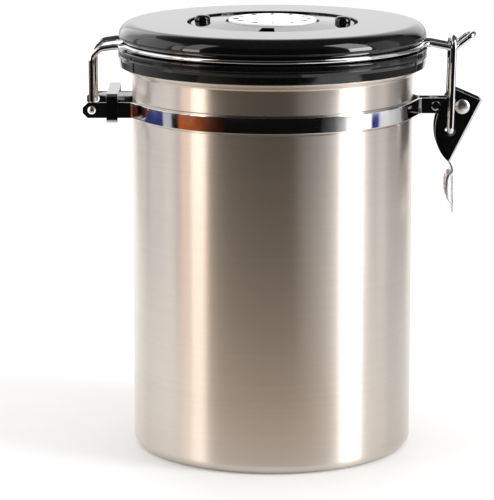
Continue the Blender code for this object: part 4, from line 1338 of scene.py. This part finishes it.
def addPanel(name, azimuth, elevation, distance, width, height, brightness, colour=(1, 1, 1)):
    light = bpy.data.lights.new(name, "AREA")
    light.shape = "RECTANGLE"
    light.size = width * unit
    light.size_y = height * unit
    light.color = colour
    light.energy = brightness * math.pi * width * height * unit ** 2
    panel = addObject(name, light)
    panel.visible_camera = False
    around, up = math.radians(azimuth), math.radians(elevation)
    away = Vector((math.sin(around) * math.cos(up), -math.cos(around) * math.cos(up), math.sin(up)))
    panel.location = (away * distance + panelAim) * unit
    panel.rotation_euler = away.to_track_quat("Z", "Y").to_euler()


# What polished pieces mirror, by azimuth: dark in front, pale behind
roomGreys = (
    (-180, 0.85), (-150, 0.85), (-144, 0.6), (-95, 0.5), (-72, 0.25), (-46, 0.02),
    (0, 0.004), (40, 0.006), (50, 0.1), (74, 0.25), (100, 0.3), (128, 0.2),
    (136, 0.06), (144, 0.06), (150, 0.85), (180, 0.85),
)
# The same just below eye level, where the walls and furniture of the room show
wallColours = (
    (-180, 0.85), (-160, 0.85), (-150, (0.13, 0.065, 0.05)), (-136, (0.13, 0.075, 0.06)),
    (-131, 0.3), (-127, 0.3), (-125, (0.03, 0.045, 0.18)), (-112, (0.035, 0.045, 0.2)),
    (-100, (0.035, 0.05, 0.22)), (-98, (0.7, 0.7, 0.72)), (-90, (0.62, 0.62, 0.63)),
    (-88, 0.01), (-83, 0.01), (-80, (0.58, 0.13, 0.02)), (-66, (0.42, 0.085, 0.013)),
    (-52, (0.08, 0.018, 0.005)), (-38, (0.006, 0.005, 0.005)), (38, 0.006), (50, 0.14), (59, 0.8),
    (64, 2.0), (85, 2.0), (87, (0.05, 0.05, 0.3)), (94, (0.06, 0.06, 0.35)), (96, 1.0),
    (104, 1.0), (116, 0.72), (132, 0.42), (142, 0.05), (160, 0.05), (172, 0.85), (180, 0.85),
)
# Heights are sines of the elevation
roomShade = {
    "pale": 1.0,
    "walls": (-0.24, -0.2, -0.136, -0.128),
    "above": (0.5, 0.75),
    "aboveGrey": 0.1,
}


def makeSurroundings(shade):
    world = bpy.data.worlds.new("studio")
    bpy.context.scene.world = world
    world.use_nodes = True
    world.cycles.sampling_method = "NONE"
    nodes, links = world.node_tree.nodes, world.node_tree.links

    def blend(factor, first, second):
        node = nodes.new("ShaderNodeMix")
        node.data_type = "RGBA"
        links.new(factor, node.inputs["Factor"])
        for socket, value in (("A", first), ("B", second)):
            if isinstance(value, float):
                node.inputs[socket].default_value = tone(value)
            else:
                links.new(value, node.inputs[socket])
        return node.outputs["Result"]

    # Colours along a source that runs from low to high
    def ramp(source, stops, low, high):
        node = nodes.new("ShaderNodeValToRGB")
        elements = node.color_ramp.elements
        elements.remove(elements[1])
        for index, (place, colour) in enumerate(stops):
            position = (place - low) / (high - low)
            element = elements.new(position) if index else elements[0]
            element.position = position
            element.color = tone(colour)
        links.new(source, node.inputs["Fac"])
        return node.outputs["Color"]

    place = nodes.new("ShaderNodeTexCoord")
    turn = nodes.new("ShaderNodeMapping")
    turn.inputs["Rotation"].default_value = (0, 0, math.pi / 2)
    around = nodes.new("ShaderNodeTexGradient")
    around.gradient_type = "RADIAL"
    links.new(place.outputs["Generated"], turn.inputs["Vector"])
    links.new(turn.outputs["Vector"], around.inputs["Vector"])
    greys = ramp(around.outputs["Fac"], roomGreys, -180, 180)
    walls = ramp(around.outputs["Fac"], wallColours, -180, 180)
    split = nodes.new("ShaderNodeSeparateXYZ")
    links.new(place.outputs["Generated"], split.inputs["Vector"])
    height = ranged(world, split.outputs["Z"], 0, 1, -1, 1)
    wallBand = ramp(height, zip(shade["walls"], (0.0, 1.0, 1.0, 0.0)), -1, 1)
    overhead = ramp(height, zip(shade["above"], (0.0, 1.0)), -1, 1)
    room = blend(overhead, blend(wallBand, greys, walls), shade["aboveGrey"])
    rays = nodes.new("ShaderNodeLightPath")
    seen = blend(rays.outputs["Is Glossy Ray"], shade["pale"], room)
    links.new(seen, nodes["Background"].inputs["Color"])


# A warm table top that only reflections see: a glowing card of painted light, brightest beside the
# canister
tableSize = {
    "halfWidth": 420,
    "front": -460,
    "back": -80,
    "z": -1,
    "colour": (0.62, 0.54, 0.46),
    "brightness": 1.6,
}


def makeTable(size):
    made = bpy.data.materials.new("glowingTableTop")
    made.use_nodes = True
    nodes, links = made.node_tree.nodes, made.node_tree.links
    nodes.remove(nodes["Principled BSDF"])
    glow = nodes.new("ShaderNodeEmission")
    glow.inputs["Color"].default_value = tone(size["colour"])
    place = nodes.new("ShaderNodeTexCoord")
    split = nodes.new("ShaderNodeSeparateXYZ")
    links.new(place.outputs["Object"], split.inputs["Vector"])
    wide, front, back, z = size["halfWidth"], size["front"], size["back"], size["z"]
    # Painted light: the glow fades from the back edge beside the canister to none at the front
    fade = ranged(made, split.outputs["Y"], 0, size["brightness"], front * unit, back * unit)
    links.new(fade, glow.inputs["Strength"])
    links.new(glow.outputs["Emission"], nodes["Material Output"].inputs["Surface"])
    bm = bmesh.new()
    corners = ((-wide, front, z), (wide, front, z), (wide, back, z), (-wide, back, z))
    bm.faces.new([bm.verts.new(corner) for corner in corners])
    table = makePiece("glowingTableTop", bm, made)
    table.visible_camera = False
    table.visible_diffuse = False
    table.visible_shadow = False


cameraSize = {
    "distance": 1250,
    "height": 343.9,
    "tilt": 0.2022,
    "sideways": -12.2,
    "focalPixels": 2830,
    "shiftPixels": 2,
    "sensor": 36,
    "sees": 20,  # metres
}
pictureLongSide = 500


def makeCamera(size):
    camera = bpy.data.cameras.new("camera")
    camera.sensor_width = size["sensor"]
    camera.lens = size["focalPixels"] * camera.sensor_width / pictureLongSide
    camera.shift_x = size["shiftPixels"] / pictureLongSide
    camera.clip_end = size["sees"]
    holder = addObject("camera", camera)
    holder.location = Vector((size["sideways"], -size["distance"], size["height"])) * unit
    holder.rotation_euler = (math.pi / 2 - size["tilt"], 0, 0)
    bpy.context.scene.camera = holder


makeFloor(floorSize)
makeSurroundings(roomShade)
makeTable(tableSize)
makeCamera(cameraSize)
for name, panel in lightPanels.items():
    addPanel(name, *panel)
bpy.context.scene.view_settings.view_transform = "Standard"
print("studio made")
